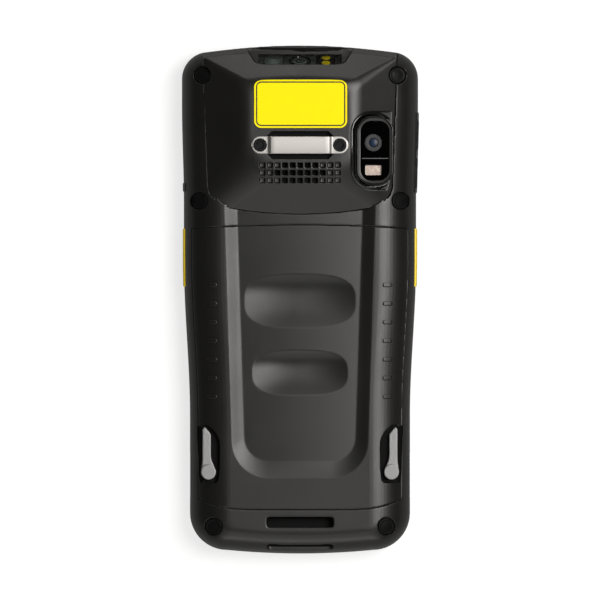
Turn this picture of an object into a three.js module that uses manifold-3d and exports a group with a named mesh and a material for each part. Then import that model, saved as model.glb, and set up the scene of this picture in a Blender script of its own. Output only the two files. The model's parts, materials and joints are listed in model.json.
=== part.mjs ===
// Portable barcode data terminal, lying on its face.
// Millimetres. +X is the right side seen from the back, +Y is the scanning end, and +Z is the back.
// The origin is on the front rim, under the middle of the terminal.

import * as THREE from 'three';
import { mergeVertices } from 'three/addons/utils/BufferGeometryUtils.js';
import Module from 'manifold-3d';

// Whole terminal
const bodyLength = 157.5;
const headWidth = 73.2;
const gripWidth = 72.0;
const tailWidth = 68.2;
const bodyDepth = 20.0;
const hoodRise = 5.5;
const partingHeight = 8.0;
const tailEnd = -bodyLength / 2;
const headEnd = bodyLength / 2;
const hoodTop = bodyDepth + hoodRise;
const narrowHalf = Math.min(headWidth, gripWidth, tailWidth) / 2;
const widestHalf = Math.max(headWidth, gripWidth, tailWidth) / 2;

// Plan outline: corners, the slight bow of the two ends, and where the sides change width.
// A reach is a distance along the body from the head's or the tail's end.
const headCornerRadius = 8.4;
const tailCornerRadius = 11.5;
const headBow = 2.0;
const tailBow = 1.1;
const taperTailReach = 42.75;
const taperGripReach = 66.75;
const shoulderGripReach = 48.75;
const shoulderHeadReach = 18.75;
const taperTailY = tailEnd + taperTailReach;
const taperGripY = headEnd - taperGripReach;
const shoulderGripY = headEnd - shoulderGripReach;
const shoulderHeadY = headEnd - shoulderHeadReach;

// Rounding towards the back, and the small rounding at the front rim
const flankLift = 1.5;
const flankWidth = 10.0;
const headRound = 9.0;
const tailRound = 7.0;
const rimInset = 2.2;
const rimHeight = 2.6;
const rimInsetShare = 0.3;
const rimHeightShare = 0.35;
const partingGroove = 0.25;
const flankStart = partingHeight + flankLift;

// Walls and clearances
const frontWall = 2.4;
const sideWall = 2.2;
const fit = 0.3;
const seamGap = 0.3;
const overrun = 4.0;

// Scan hood, a raised frustum over the head
const hoodReach = 52.25;
const hoodTailBow = 1.8;
const hoodTailInset = 7.8;
const hoodHeadInset = 6.5;
const hoodTailCorner = 7.5;
const hoodHeadCorner = 0.8;
const hoodEndSet = 0.2;
const hoodBrowSet = 1.7;
const hoodBrowDrop = 0.6;
const hoodEndDrop = 6.0;
const hoodTailSlope = 11.1;
const hoodHeadSlope = 7.9;
const hoodCrestHalf = 18.4;
const hoodCrestBow = 0.8;
const hoodCrestCorner = 3.2;
const hoodCrestRound = 1.2;
const hoodCrestDrop = 0.6;
const hoodSeatDrop = 2.4;
const hoodSkirtReach = 8.45;
const hoodTailY = headEnd - hoodReach;
const hoodTailHalf = bodyHalfAt(hoodTailY) - hoodTailInset;
const hoodHeadHalf = headWidth / 2 - hoodHeadInset;
const hoodBrowHeight = bodyDepth - hoodBrowDrop;
const hoodEndHeight = bodyDepth - hoodEndDrop;
const hoodSeat = bodyDepth - hoodSeatDrop;
const hoodSkirtY = headEnd - hoodSkirtReach;

// Scan window in the hood's end
const windowHalfMouth = 17.4;
const windowHalfFloor = 12.9;
const windowShoulder = 15.0;
const windowDepth = 6.1;
const windowLip = 2.0;
const windowHeight = 8.0;
const windowTilt = 27.0;
const windowThickness = 1.2;
const windowInset = 1.2;
const windowSill = hoodBrowHeight - windowHeight;

// Scan engine behind the window, measured in its own tilted frame
const engineReach = 4.85;
const engineDrop = 11.5;
const engineHalfWidth = 13.5;
const engineDepth = 8.0;
const engineHalfHeight = 3.9;
const engineLensRadius = 3.3;
const engineLensLength = 2.6;
const aimerX = 8.1;
const aimerHalf = 2.9;
const aimerLength = 1.8;
const ledBoardX = 8.0;
const ledBoardHalf = 2.7;
const ledBoardThickness = 0.7;
const ledRadius = 1.3;
const ledHeight = 0.6;
const ledSpacing = 3.7;
const engineY = headEnd - engineReach;
const engineZ = hoodTop - engineDrop;
const engineTurn = THREE.MathUtils.degToRad(windowTilt);

// Camera recess on the hood's right slope
const cameraAhead = 19.5;
const cameraInset = 5.7;
const cameraHalfWidth = 7.5;
const cameraHalfLength = 12.1;
const cameraCorner = 6.6;
const cameraDrop = 5.6;
const bezelHalfWidth = 5.55;
const bezelHalfLength = 10.85;
const bezelWall = 0.9;
const bezelHeight = 1.3;
const bezelCorner = 4.9;
const cameraWindowThickness = 0.8;
const cameraLensAhead = 2.5;
const cameraLensInboard = 0.5;
const cameraLensRadius = 2.8;
const flashHalfWidth = 2.7;
const flashHalfLength = 1.7;
const flashBehind = 6.0;
const flashDepth = 1.3;
const cameraY = hoodTailY + cameraAhead;
const cameraX = hoodHalfAt(cameraY) - cameraInset;
const cameraFloor = hoodTop - cameraDrop;
const cameraLensX = cameraX - cameraLensInboard;
const cameraLensY = cameraY + cameraLensAhead;
const flashY = cameraY - flashBehind;

// Hand strap bar, its recess and its screws
const strapBarAhead = 21.2;
const strapBarHalfSpan = 12.3;
const strapBarRadius = 2.67;
const strapBarThickness = 1.0;
const strapBarSink = 0.6;
const strapBarLift = 0.6;
const strapBarJoggleStart = 10.1;
const strapBarJoggleEnd = 8.8;
const strapRecessHalfWidth = 10.3;
const strapRecessHalfLength = 4.2;
const strapRecessDepth = 2.1;
const strapRecessCorner = 1.6;
const strapScrewHeadRadius = 2.0;
const strapScrewHeadHeight = 0.6;
const strapScrewLength = 5.0;
const screwShankRadius = 0.95;
const screwSocketRadius = 1.0;
const strapBarY = hoodTailY + strapBarAhead;

// Speaker and its grille
const grilleColumns = 11;
const grillePitch = 2.33;
const grilleHole = 1.6;
const grilleBehindBar = 6.2;
const grilleBlindDepth = 0.9;
const grilleOpenColumns = [5, 7, 5];
const grilleSlopeDropShares = [0, 0, 1];
const speakerHalfWidth = 8.9;
const speakerHalfLength = 3.4;
const speakerDrop = 3.0;
const speakerHeight = 3.2;
const grilleHeadY = strapBarY - grilleBehindBar;
const speakerY = grilleHeadY - grillePitch * (grilleOpenColumns.length - 1) / 2;
const speakerTop = hoodTop - speakerDrop;

// Battery cover
const coverBehindHood = 3.4;
const coverReach = 13.85;
const coverCorner = 14.0;
const coverSideInset = 0.6;
const coverThickness = 4.2;
const coverPlugDepth = 0.6;
const tongueInset = 9.5;
const tongueHalfWidth = 2.4;
const tongueReach = 2.2;
const tongueThickness = 1.4;
const tongueDrop = 1.0;
const coverHeadY = hoodTailY - coverBehindHood;
const coverTailY = tailEnd + coverReach;
const coverSeat = bodyDepth - coverThickness;
const tongueX = bodyHalfAt(coverHeadY) - tongueInset;

// Latches at the cover's tail
const latchInset = 5.8;
const latchReach = 11.5;
const latchKnobRadius = 2.33;
const latchArmOuter = 1.9;
const latchArmInner = 0.7;
const latchArmLength = 13.9;
const latchTipShort = 2.2;
const latchThickness = 1.6;
const latchFloorLift = 1.1;
const latchPinRadius = 1.0;
const latchFootLength = 4.2;
const latchFootWidth = 2.0;
const latchFootHeight = 1.2;
const latchNotchRadius = 2.9;
const latchNotchDepth = 2.0;
const latchPocketRun = 3.4;
const latchPocketTailRun = 3.4;
const latchPocketHeadRun = 1.9;
const latchPocketCorner = 4.9;
const latchX = tailWidth / 2 - latchInset;
const latchY = coverTailY + latchReach;
const latchFloor = coverSeat + latchFloorLift;
const latchPocketHeadY = latchY + latchArmLength + latchPocketHeadRun;

// Channel down the back, with two finger dimples
const channelAheadOfHood = 3.0;
const channelReach = 9.6;
const channelHeadInset = 10.8;
const channelTailInset = 13.4;
const channelCorner = 11.5;
const channelDepth = 1.7;
const channelWallRun = 2.9;
const channelTailRun = 5.1;
const dimpleReach = 23.6;
const dimpleSpacing = 22.2;
const dimpleHeadMargin = 6.1;
const dimpleTailMargin = 5.9;
const dimpleHeadHalfLength = 8.3;
const dimpleTailHalfLength = 6.9;
const dimpleDepth = 1.3;
const dimpleRoundness = 3.6;
const channelFloor = bodyDepth - channelDepth;
const channelHeadY = hoodTailY + channelAheadOfHood;
const channelTailY = coverTailY + channelReach;
const channelHeadHalf = narrowHalf - channelHeadInset;
const channelTailHalf = narrowHalf - channelTailInset;
const dimpleHeadY = coverHeadY - dimpleReach;
const dimpleTailY = dimpleHeadY - dimpleSpacing;
const dimpleHeadHalfWidth = channelHeadHalf - dimpleHeadMargin;
const dimpleTailHalfWidth = channelTailHalf - dimpleTailMargin;

// Grip ticks beside the channel, spread from the cover's head to the latches
const tickCount = 7;
const tickReach = 18.6;
const tickTailGap = 7.54;
const tickInset = 7.0;
const tickHalfLength = 1.5;
const tickRadius = 0.65;
const tickHeadY = coverHeadY - tickReach;
const tickPitch = (tickHeadY - latchPocketHeadY - tickTailGap) / (tickCount - 1);
const tickX = narrowHalf - tickInset;

// Battery, its bay, contacts and seal
const baySideInset = 11.5;
const bayHeadWall = 3.1;
const bayTailWall = 4.4;
const bayFloorLift = 1.2;
const bayCorner = 2.0;
const batteryDrop = 0.9;
const batteryGap = 0.5;
const contactsHalfWidth = 7.0;
const contactsDepth = 1.8;
const contactsHeightShare = 0.6;
const sealWidth = 1.0;
const sealHeight = 0.9;
const sealProud = 0.1;
const sealInset = 0.8;
const bayHalfWidth = narrowHalf - baySideInset;
const bayHeadY = coverHeadY - bayHeadWall;
const bayTailY = coverTailY + bayTailWall;
const bayFloor = partingHeight + bayFloorLift;
const batteryTop = coverSeat - batteryDrop;
const contactsHeight = (batteryTop - bayFloor) * contactsHeightShare;

// Wrist strap loop through the tail
const strapSlotReach = 9.85;
const strapSlotHalfWidth = 10.3;
const strapSlotHalfLength = 1.65;
const strapSlotCorner = 1.15;
const strapPassDrop = 5.0;
const strapPassHeight = 2.8;
const strapSlotY = tailEnd + strapSlotReach;
const strapPassFloor = bodyDepth - strapPassDrop;

// Scan triggers on both sides
const triggerBehindCover = 1.1;
const triggerLength = 18.0;
const triggerLift = 1.0;
const triggerBelowCover = 1.6;
const triggerDepth = 3.0;
const triggerProud = 0.5;
const triggerTravel = 0.8;
const triggerHeadY = coverHeadY - triggerBehindCover;
const triggerTailY = triggerHeadY - triggerLength;
const triggerFloor = partingHeight + triggerLift;
const triggerHeight = coverSeat - triggerBelowCover - triggerFloor;
const triggerInner = bodyHalfAt(triggerTailY) - triggerDepth;

// Volume buttons on the right, and the raised guard around them
const volumeReach = 23.35;
const volumeUpLength = 9.0;
const volumeBetween = 2.8;
const volumeDownLength = 8.9;
const volumeLift = 1.5;
const volumeHeight = 3.0;
const volumeDepth = 2.05;
const volumeProud = 0.4;
const volumeTravel = 0.5;
const guardProud = 0.35;
const guardHeadMargin = 2.4;
const guardTailMargin = 1.5;
const guardMargin = 0.9;
const volumeUpHeadY = headEnd - volumeReach;
const volumeUpTailY = volumeUpHeadY - volumeUpLength;
const volumeDownHeadY = volumeUpTailY - volumeBetween;
const volumeDownTailY = volumeDownHeadY - volumeDownLength;
const volumeFloor = partingHeight + volumeLift;
const guardHeadY = volumeUpHeadY + guardHeadMargin;
const guardTailY = volumeDownTailY - guardTailMargin;
const volumeInner = Math.min(bodyHalfAt(guardTailY), bodyHalfAt(guardHeadY)) - volumeDepth;

// Screws that hold the two housings, and the plugs over them
const plugRadius = 2.55;
const plugDepth = 3.8;
const plugSink = 0.25;
const screwHeadRadius = 1.9;
const screwHeadHeight = 1.8;
const screwHeadDrop = 2.3;
const screwTip = 4.0;
const bossRadius = 3.2;
const headScrewInset = 6.4;
const headScrewReach = 9.35;
const waistScrewInset = 4.8;
const waistScrewAhead = 4.0;
const tailScrewInset = 7.3;
const tailScrewReach = 8.55;
const plugFloor = bodyDepth - plugDepth;
const screwHeadSeat = plugFloor - screwHeadDrop;
const headScrewX = headWidth / 2 - headScrewInset;
const headScrewY = headEnd - headScrewReach;
const waistScrewY = hoodTailY + waistScrewAhead;
const waistScrewX = bodyHalfAt(waistScrewY) - waistScrewInset;
const tailScrewX = tailWidth / 2 - tailScrewInset;
const tailScrewY = tailEnd + tailScrewReach;

// Cradle recesses low on the sides
const cradleReach = 17.65;
const cradleLength = 13.2;
const cradleDrop = 3.6;
const cradleHeight = 7.2;
const cradleDepth = 0.8;
const cradleTailY = tailEnd + cradleReach;
const cradleHeadY = cradleTailY + cradleLength;
const cradleFloor = partingHeight - cradleDrop;
const cradleTop = cradleFloor + cradleHeight;

// Keypad on the front
const keyFieldInset = 6.1;
const keyFieldReach = 4.15;
const keyFieldDepth = 1.0;
const keyFieldCorner = 7.0;
const keyTailMargin = 6.1;
const keyHeadMargin = 5.2;
const keySink = 0.4;
const keyStand = 0.6;
const keyCorner = 1.6;
const keyBevel = 0.3;
const functionKeys = ['menu', 'back', 'scan', 'clear', 'power'];
const functionKeySideMargin = 6.0;
const functionKeyGap = 2.0;
const functionKeyHalfLength = 2.9;
const functionKeyAhead = 9.0;
const numberKeys = [['1', '2', '3'], ['4', '5', '6'], ['7', '8', '9'], ['star', '0', 'hash']];
const numberKeySideMargin = 6.4;
const numberKeyGap = 3.0;
const numberKeyPitchY = 8.7;
const numberKeyHalfLength = 2.9;
const membraneSideMargin = 5.0;
const membraneEndMargin = 0.9;
const membraneThickness = 1.4;
const keyClearance = 0.5;
const keyHeight = frontWall + keyStand - keySink;
const keyFieldHalfWidth = narrowHalf - keyFieldInset;
const keyFieldTailY = tailEnd + keyFieldReach;
const numberKeyY = keyFieldTailY + keyTailMargin + numberKeyPitchY * (numberKeys.length - 1);
const functionKeyY = numberKeyY + functionKeyAhead;
const keyFieldHeadY = functionKeyY + keyHeadMargin;

// Display on the front
const glassSideInset = 4.35;
const glassWaistGap = 1.2;
const glassHeadGap = 0.2;
const glassReach = 7.75;
const glassAheadOfKeys = 3.2;
const glassCorner = 3.5;
const glassThickness = 1.2;
const glassSink = 0.3;
const displaySideMargin = 3.4;
const displayTailMargin = 4.5;
const displayHeadMargin = 5.0;
const displayMargin = 0.8;
const displayThickness = 2.5;
const glassTailY = keyFieldHeadY + glassAheadOfKeys;
const glassHeadY = headEnd - glassReach;
const glassHalfWidth = Math.min(
  bodyHalfAt(glassTailY) - glassSideInset, waistScrewX - glassWaistGap, headScrewX - glassHeadGap,
);
const displayHalfWidth = glassHalfWidth - displaySideMargin;
const displayTailY = glassTailY + displayTailMargin;
const displayHeadY = glassHeadY - displayHeadMargin;

// Main board
const boardSideMargin = 2.6;
const boardTailReach = 12.75;
const boardHeadReach = 16.75;
const boardThickness = 1.2;
const boardHalfWidth = glassHalfWidth - boardSideMargin;
const boardTailY = tailEnd + boardTailReach;
const boardHeadY = headEnd - boardHeadReach;

// Charging contacts in the tail
const dockHalfWidth = 8.0;
const dockFloor = 3.2;
const dockHeight = 3.2;
const dockDepth = 4.0;
const dockSink = 0.8;

// Facet counts, and shares of a stretch, a corner or a radius
const cornerSteps = 5;
const sideSteps = 8;
const flankSteps = 5;
const roundSides = 16;
const pinSides = 12;
const slabCurve = 2;
const keyCurve = 1;
const bezelCurve = 4;
const endShares = [0, 0.4, 0.75];
const tightCornerShare = 0.25;
const weldShare = 1e-7;
const pocketHeadShares = [[1.3, 0], [0.6, 0.2], [0.2, 0.6], [0, 1.2]];
const pocketTailShares = [[0, 0.7], [0.17, 0]];
const lensBarrelShares = [[1, -0.17], [0.8, 0], [0.7, -0.2], [0.4, -0.08], [0, -0.05]];

const looks = {
  charcoal: { color: 0x2b2a29, roughness: 0.62, metalness: 0 },
  black: { color: 0x141414, roughness: 0.5, metalness: 0 },
  rubber: { color: 0x1d1d1d, roughness: 0.85, metalness: 0 },
  steel: { color: 0xbcbab6, roughness: 0.35, metalness: 1 },
  darkSteel: { color: 0x2a2a2c, roughness: 0.4, metalness: 1 },
  yellow: { color: 0xf2c200, roughness: 0.5, metalness: 0 },
  glass: { color: 0x1c2022, roughness: 0.08, metalness: 0 },
  lens: { color: 0x26303c, roughness: 0.1, metalness: 0.2 },
  flash: { color: 0xe8dccb, roughness: 0.35, metalness: 0 },
  board: { color: 0x1d5a3a, roughness: 0.6, metalness: 0 },
  gold: { color: 0xc79a3a, roughness: 0.35, metalness: 1 },
  battery: { color: 0x3a3d42, roughness: 0.55, metalness: 0 },
  key: { color: 0x4a4b4e, roughness: 0.6, metalness: 0 },
};

const wasm = await Module();
wasm.setup();

// Joining and cutting

function solid(geometry) {
  const bare = geometry.clone();
  for (const name of Object.keys(bare.attributes)) {
    if (name !== 'position') bare.deleteAttribute(name);
  }
  const merged = mergeVertices(bare, bodyLength * weldShare);
  return new wasm.Manifold(new wasm.Mesh({
    numProp: 3,
    vertProperties: new Float32Array(merged.attributes.position.array),
    triVerts: new Uint32Array(merged.index.array),
  }));
}

function join(first, ...rest) {
  return rest.reduce((whole, next) => whole.add(next), first);
}

function cut(first, ...rest) {
  return rest.reduce((whole, next) => whole.subtract(next), first);
}

function box(x0, x1, y0, y1, z0, z1) {
  const geometry = new THREE.BoxGeometry(x1 - x0, y1 - y0, z1 - z0);
  geometry.translate((x0 + x1) / 2, (y0 + y1) / 2, (z0 + z1) / 2);
  return solid(geometry);
}

function sideBox(side, inner, outer, y0, y1, z0, z1) {
  return side > 0 ? box(inner, outer, y0, y1, z0, z1) : box(-outer, -inner, y0, y1, z0, z1);
}

function rod(radius, x, y, z0, z1, sides = roundSides) {
  const geometry = new THREE.CylinderGeometry(radius, radius, z1 - z0, sides);
  geometry.rotateX(Math.PI / 2);
  geometry.translate(x, y, (z0 + z1) / 2);
  return solid(geometry);
}

function slab(shape, z0, z1, curveSegments = slabCurve) {
  const geometry = new THREE.ExtrudeGeometry(shape, { depth: z1 - z0, bevelEnabled: false, curveSegments });
  geometry.translate(0, 0, z0);
  return solid(geometry);
}

function roundedShape(x0, x1, y0, y1, radius) {
  const shape = new THREE.Shape();
  shape.moveTo(x0 + radius, y0);
  shape.lineTo(x1 - radius, y0);
  shape.absarc(x1 - radius, y0 + radius, radius, -Math.PI / 2, 0, false);
  shape.lineTo(x1, y1 - radius);
  shape.absarc(x1 - radius, y1 - radius, radius, 0, Math.PI / 2, false);
  shape.lineTo(x0 + radius, y1);
  shape.absarc(x0 + radius, y1 - radius, radius, Math.PI / 2, Math.PI, false);
  shape.lineTo(x0, y0 + radius);
  shape.absarc(x0 + radius, y0 + radius, radius, Math.PI, Math.PI * 1.5, false);
  return shape;
}

function roundedSlab(x0, x1, y0, y1, radius, z0, z1, curveSegments = slabCurve) {
  return slab(roundedShape(x0, x1, y0, y1, radius), z0, z1, curveSegments);
}

function outlineShape(points) {
  return new THREE.Shape(points.map(([x, y]) => new THREE.Vector2(x, y)));
}

// Lofts through rings that all have the same number of points

function loft(rings) {
  const count = rings[0].length;
  const positions = rings.flat(2);
  const index = [];
  for (let level = 0; level + 1 < rings.length; level += 1) {
    for (let i = 0; i < count; i += 1) {
      const low = level * count + i;
      const lowNext = level * count + ((i + 1) % count);
      index.push(low, lowNext, lowNext + count, low, lowNext + count, low + count);
    }
  }
  for (const level of [0, rings.length - 1]) {
    const ring = rings[level];
    const centre = positions.length / 3;
    const middleY = (ring[0][1] + ring[count / 2][1]) / 2;
    positions.push(0, middleY, ring[0][2]);
    for (let i = 0; i < count; i += 1) {
      const here = level * count + i;
      const next = level * count + ((i + 1) % count);
      if (level === 0) index.push(centre, next, here);
      else index.push(centre, here, next);
    }
  }
  const geometry = new THREE.BufferGeometry();
  geometry.setAttribute('position', new THREE.Float32BufferAttribute(positions, 3));
  geometry.setIndex(index);
  return solid(geometry);
}

// One closed plan ring from the tail's middle round the right side, the head and the left side
function planRing(plan, z) {
  const sideTail = plan.tailY + plan.tailBow + plan.tailCorner;
  const sideHead = plan.headY - plan.headBow - plan.headCorner;
  const tailEdge = plan.halfAt(sideTail) - plan.tailCorner;
  const headEdge = plan.halfAt(sideHead) - plan.headCorner;
  const half = endShares.map((share) => [tailEdge * share, plan.tailY + plan.tailBow * share ** 2]);
  for (let step = 0; step <= cornerSteps; step += 1) {
    const turn = (Math.PI / 2) * (step / cornerSteps);
    half.push([tailEdge + plan.tailCorner * Math.sin(turn), sideTail - plan.tailCorner * Math.cos(turn)]);
  }
  for (let step = 1; step < sideSteps; step += 1) {
    const y = sideTail + (sideHead - sideTail) * (step / sideSteps);
    half.push([plan.halfAt(y), y]);
  }
  for (let step = 0; step <= cornerSteps; step += 1) {
    const turn = (Math.PI / 2) * (step / cornerSteps);
    half.push([headEdge + plan.headCorner * Math.cos(turn), sideHead + plan.headCorner * Math.sin(turn)]);
  }
  for (const share of [...endShares].reverse()) {
    half.push([headEdge * share, plan.headY - plan.headBow * share ** 2]);
  }
  const mirrored = half.slice(1, -1).reverse().map(([x, y]) => [-x, y]);
  return [...half, ...mirrored].map(([x, y]) => [x, y, z]);
}

function smooth(value, from, to) {
  const share = Math.min(Math.max((value - from) / (to - from), 0), 1);
  return share * share * (3 - 2 * share);
}

function bodyHalfAt(y) {
  const grip = (gripWidth - tailWidth) * smooth(y, taperTailY, taperGripY);
  const shoulder = (headWidth - gripWidth) * smooth(y, shoulderGripY, shoulderHeadY);
  return (tailWidth + grip + shoulder) / 2;
}

// The body's outline drawn in by an amount at the sides, the head and the tail
function bodyPlan(side, head, tail) {
  const tailCorner = tailCornerRadius - (side + tail) / 2;
  const headCorner = headCornerRadius - (side + head) / 2;
  return {
    halfAt: (y) => bodyHalfAt(y) - side,
    tailY: tailEnd + tail,
    headY: headEnd - head,
    tailBow,
    headBow,
    tailCorner: Math.max(tailCorner, tailCornerRadius * tightCornerShare),
    headCorner: Math.max(headCorner, headCornerRadius * tightCornerShare),
  };
}

// The back of the body from the parting line up, grown outwards and lowered by the given amounts
function backLoft(grow = 0, lower = 0) {
  const groove = partingGroove - grow;
  const rings = [
    planRing(bodyPlan(groove, groove, groove), partingHeight - lower),
    planRing(bodyPlan(-grow, -grow, -grow), partingHeight + partingGroove - lower),
    planRing(bodyPlan(-grow, -grow, -grow), flankStart - lower),
  ];
  for (let step = 1; step <= flankSteps; step += 1) {
    const turn = (Math.PI / 2) * (step / flankSteps);
    const drawn = 1 - Math.cos(turn);
    const plan = bodyPlan(flankWidth * drawn - grow, headRound * drawn - grow, tailRound * drawn - grow);
    rings.push(planRing(plan, flankStart + (bodyDepth - flankStart) * Math.sin(turn) - lower));
  }
  return loft(rings);
}

function hoodHalfAt(y) {
  return hoodTailHalf + (hoodHeadHalf - hoodTailHalf) * ((y - hoodTailY) / hoodReach);
}

// The hood's whole frustum, grown outwards and lowered by the given amounts
function hoodLoft(grow = 0, lower = 0) {
  const foot = {
    halfAt: (y) => hoodHalfAt(y) + grow,
    tailY: hoodTailY - grow,
    headY: headEnd - hoodEndSet + grow,
    tailBow: hoodTailBow,
    headBow,
    tailCorner: hoodTailCorner,
    headCorner: hoodHeadCorner,
  };
  const brow = { ...foot, headY: foot.headY - hoodBrowSet };
  const crest = {
    halfAt: () => hoodCrestHalf + grow,
    tailY: foot.tailY + hoodTailSlope,
    headY: brow.headY - hoodHeadSlope,
    tailBow: 0,
    headBow: hoodCrestBow,
    tailCorner: hoodCrestCorner,
    headCorner: hoodCrestCorner,
  };
  const top = {
    ...crest,
    halfAt: () => hoodCrestHalf - hoodCrestRound + grow,
    tailY: crest.tailY + hoodCrestRound,
    headY: crest.headY - hoodCrestRound,
  };
  return loft([
    planRing(foot, partingHeight - lower),
    planRing(foot, hoodEndHeight - lower),
    planRing(brow, hoodBrowHeight - lower),
    planRing(crest, hoodTop - hoodCrestDrop - lower),
    planRing(top, hoodTop - lower),
  ]);
}

// The room that the hood takes from the rear housing: its seat over the head and its end wall
function hoodRoom(seat, skirtY, skirtFloor) {
  const reach = bodyLength;
  return join(
    box(-reach, reach, 0, reach, seat, reach),
    box(-reach, reach, skirtY, reach, skirtFloor, reach),
  );
}

// Screws and plugs

const screwPlaces = [
  ['head', headScrewX, headScrewY],
  ['waist', waistScrewX, waistScrewY],
  ['tail', tailScrewX, tailScrewY],
].flatMap(([row, x, y]) => [
  { name: `${row}_left`, x: -x, y },
  { name: `${row}_right`, x, y },
]);

function screwBore({ x, y }) {
  return join(
    rod(plugRadius + fit / 2, x, y, plugFloor, hoodTop + overrun),
    rod(screwHeadRadius + fit, x, y, screwHeadSeat, plugFloor + fit),
    rod(screwShankRadius + fit, x, y, screwTip - fit, screwHeadSeat + fit),
  );
}

function screwPlug({ x, y }) {
  const blank = rod(plugRadius, x, y, plugFloor, hoodTop);
  return blank.intersect(join(backLoft(0, plugSink), hoodLoft(0, plugSink)));
}

function housingScrew({ x, y }) {
  const headTop = screwHeadSeat + screwHeadHeight;
  const socket = rod(screwSocketRadius, x, y, headTop - screwSocketRadius, headTop + overrun, 6);
  return cut(join(
    rod(screwHeadRadius, x, y, screwHeadSeat, headTop),
    rod(screwShankRadius, x, y, screwTip, screwHeadSeat + fit, pinSides),
  ), socket);
}

// Battery cover and what it leaves in the housing

function coverShape(gap) {
  const half = widestHalf - coverSideInset - gap;
  return roundedShape(-half, half, coverTailY + gap, coverHeadY + coverCorner, coverCorner);
}

function coverPrism(gap, floor) {
  const beyond = bodyLength;
  const plan = slab(coverShape(gap), floor, bodyDepth + overrun, cornerSteps);
  return cut(plan, box(-beyond, beyond, coverHeadY - gap, beyond, 0, beyond));
}

function channelRing(draw, z) {
  const run = channelWallRun * draw;
  const tailRun = channelTailRun * draw;
  const tailY = channelTailY + tailRun;
  const width = (y) => {
    const share = (channelHeadY - y) / (channelHeadY - channelTailY);
    return channelHeadHalf + (channelTailHalf - channelHeadHalf) * share - run;
  };
  return planRing({
    halfAt: width,
    tailY,
    headY: channelHeadY,
    tailBow: 0,
    headBow: 0,
    tailCorner: channelCorner - run,
    headCorner: hoodHeadCorner,
  }, z);
}

function channelCutter() {
  const above = channelDepth;
  return loft([
    channelRing(1, channelFloor),
    channelRing(0, bodyDepth),
    channelRing(0, bodyDepth + above),
  ]);
}

function dimple(y, halfWidth, halfLength) {
  const lift = dimpleRoundness - dimpleDepth;
  const spread = 1 / Math.sqrt(1 - (lift / dimpleRoundness) ** 2);
  const geometry = new THREE.SphereGeometry(1, roundSides * 2, roundSides);
  geometry.rotateX(Math.PI / 2);
  geometry.scale(halfWidth * spread, halfLength * spread, dimpleRoundness);
  geometry.translate(0, y, channelFloor + lift);
  return solid(geometry);
}

function latchPocket(side) {
  const inner = latchX - latchPocketRun;
  const outer = tailWidth;
  const head = latchPocketHeadY;
  const tail = latchY - latchPocketTailRun;
  const corner = latchPocketCorner;
  const shape = outlineShape([
    [outer, tail],
    [outer, head],
    ...pocketHeadShares.map(([across, down]) => [inner + corner * across, head - corner * down]),
    ...pocketTailShares.map(([across, up]) => [inner + corner * across, tail + corner * up]),
  ].map(([x, y]) => [side * x, y]));
  return slab(shape, latchFloor, bodyDepth + overrun);
}

function batteryCover() {
  const gap = seamGap / 2;
  const skin = backLoft();
  const plan = coverPrism(gap, coverSeat);
  const plug = roundedSlab(
    -bayHalfWidth + batteryGap, bayHalfWidth - batteryGap, bayTailY + batteryGap * 2, bayHeadY - batteryGap,
    bayCorner, coverSeat - coverPlugDepth, coverSeat + fit,
  );
  let cover = skin.intersect(join(plan, plug));
  for (const side of [-1, 1]) {
    const tongueTop = coverSeat + tongueDrop / 2 + tongueThickness;
    const tongue = sideBox(
      side, tongueX - tongueHalfWidth, tongueX + tongueHalfWidth,
      coverHeadY - tongueThickness * 2, coverHeadY + tongueReach - gap, coverSeat, tongueTop,
    );
    cover = join(cover, tongue);
  }
  cover = cut(
    cover, channelCutter(),
    dimple(dimpleHeadY, dimpleHeadHalfWidth, dimpleHeadHalfLength),
    dimple(dimpleTailY, dimpleTailHalfWidth, dimpleTailHalfLength),
  );
  for (const side of [-1, 1]) {
    const bore = rod(latchPinRadius + fit, side * latchX, latchY, 0, bodyDepth);
    cover = cut(cover, latchPocket(side), bore);
    for (let row = 0; row < tickCount; row += 1) {
      cover = join(cover, gripTick(side, tickHeadY - row * tickPitch));
    }
  }
  return cover;
}

function gripTick(side, y) {
  const geometry = new THREE.CapsuleGeometry(tickRadius, (tickHalfLength - tickRadius) * 2, 2, 8);
  geometry.rotateZ(Math.PI / 2);
  const inset = bodyHalfAt(y) - tickX;
  const drawn = Math.acos(1 - inset / flankWidth);
  const skin = flankStart + (bodyDepth - flankStart) * Math.sin(drawn);
  geometry.rotateY(side * Math.atan2(bodyDepth - skin, flankWidth - inset));
  geometry.translate(side * tickX, y, skin - tickRadius / 3);
  return solid(geometry);
}

function latch(side) {
  const x = side * latchX;
  const low = latchFloor + fit;
  const high = low + latchThickness;
  const arm = slab(outlineShape([
    [-latchArmInner, 0],
    [latchArmOuter, 0],
    [latchArmOuter, latchArmLength - latchTipShort / 3],
    [latchArmOuter - latchArmInner, latchArmLength],
    [-latchArmInner, latchArmLength - latchTipShort],
  ].map(([along, up]) => [x + side * along, latchY + up])), low, high);
  const knob = rod(latchKnobRadius, x, latchY, low, high + latchFootHeight / 4);
  const footTop = coverSeat - fit;
  const foot = box(
    x - latchFootWidth / 2, x + latchFootWidth / 2,
    latchY - latchFootLength / 2, latchY + latchFootLength / 2, footTop - latchFootHeight, footTop,
  );
  const pin = rod(latchPinRadius, x, latchY, footTop - fit, low + fit, pinSides);
  return join(arm, knob, pin, foot);
}

// Rear housing

function triggerBlank(side, grow, inner, margin) {
  const room = sideBox(
    side, inner, headWidth, triggerTailY - margin, triggerHeadY + margin,
    triggerFloor - margin, triggerFloor + triggerHeight + margin,
  );
  return backLoft(grow).intersect(room);
}

function volumeBlank(headY, tailY, grow, inner, margin) {
  const room = sideBox(
    1, inner, headWidth, tailY - margin, headY + margin,
    volumeFloor - margin, volumeFloor + volumeHeight + margin,
  );
  return backLoft(grow).intersect(room);
}

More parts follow.
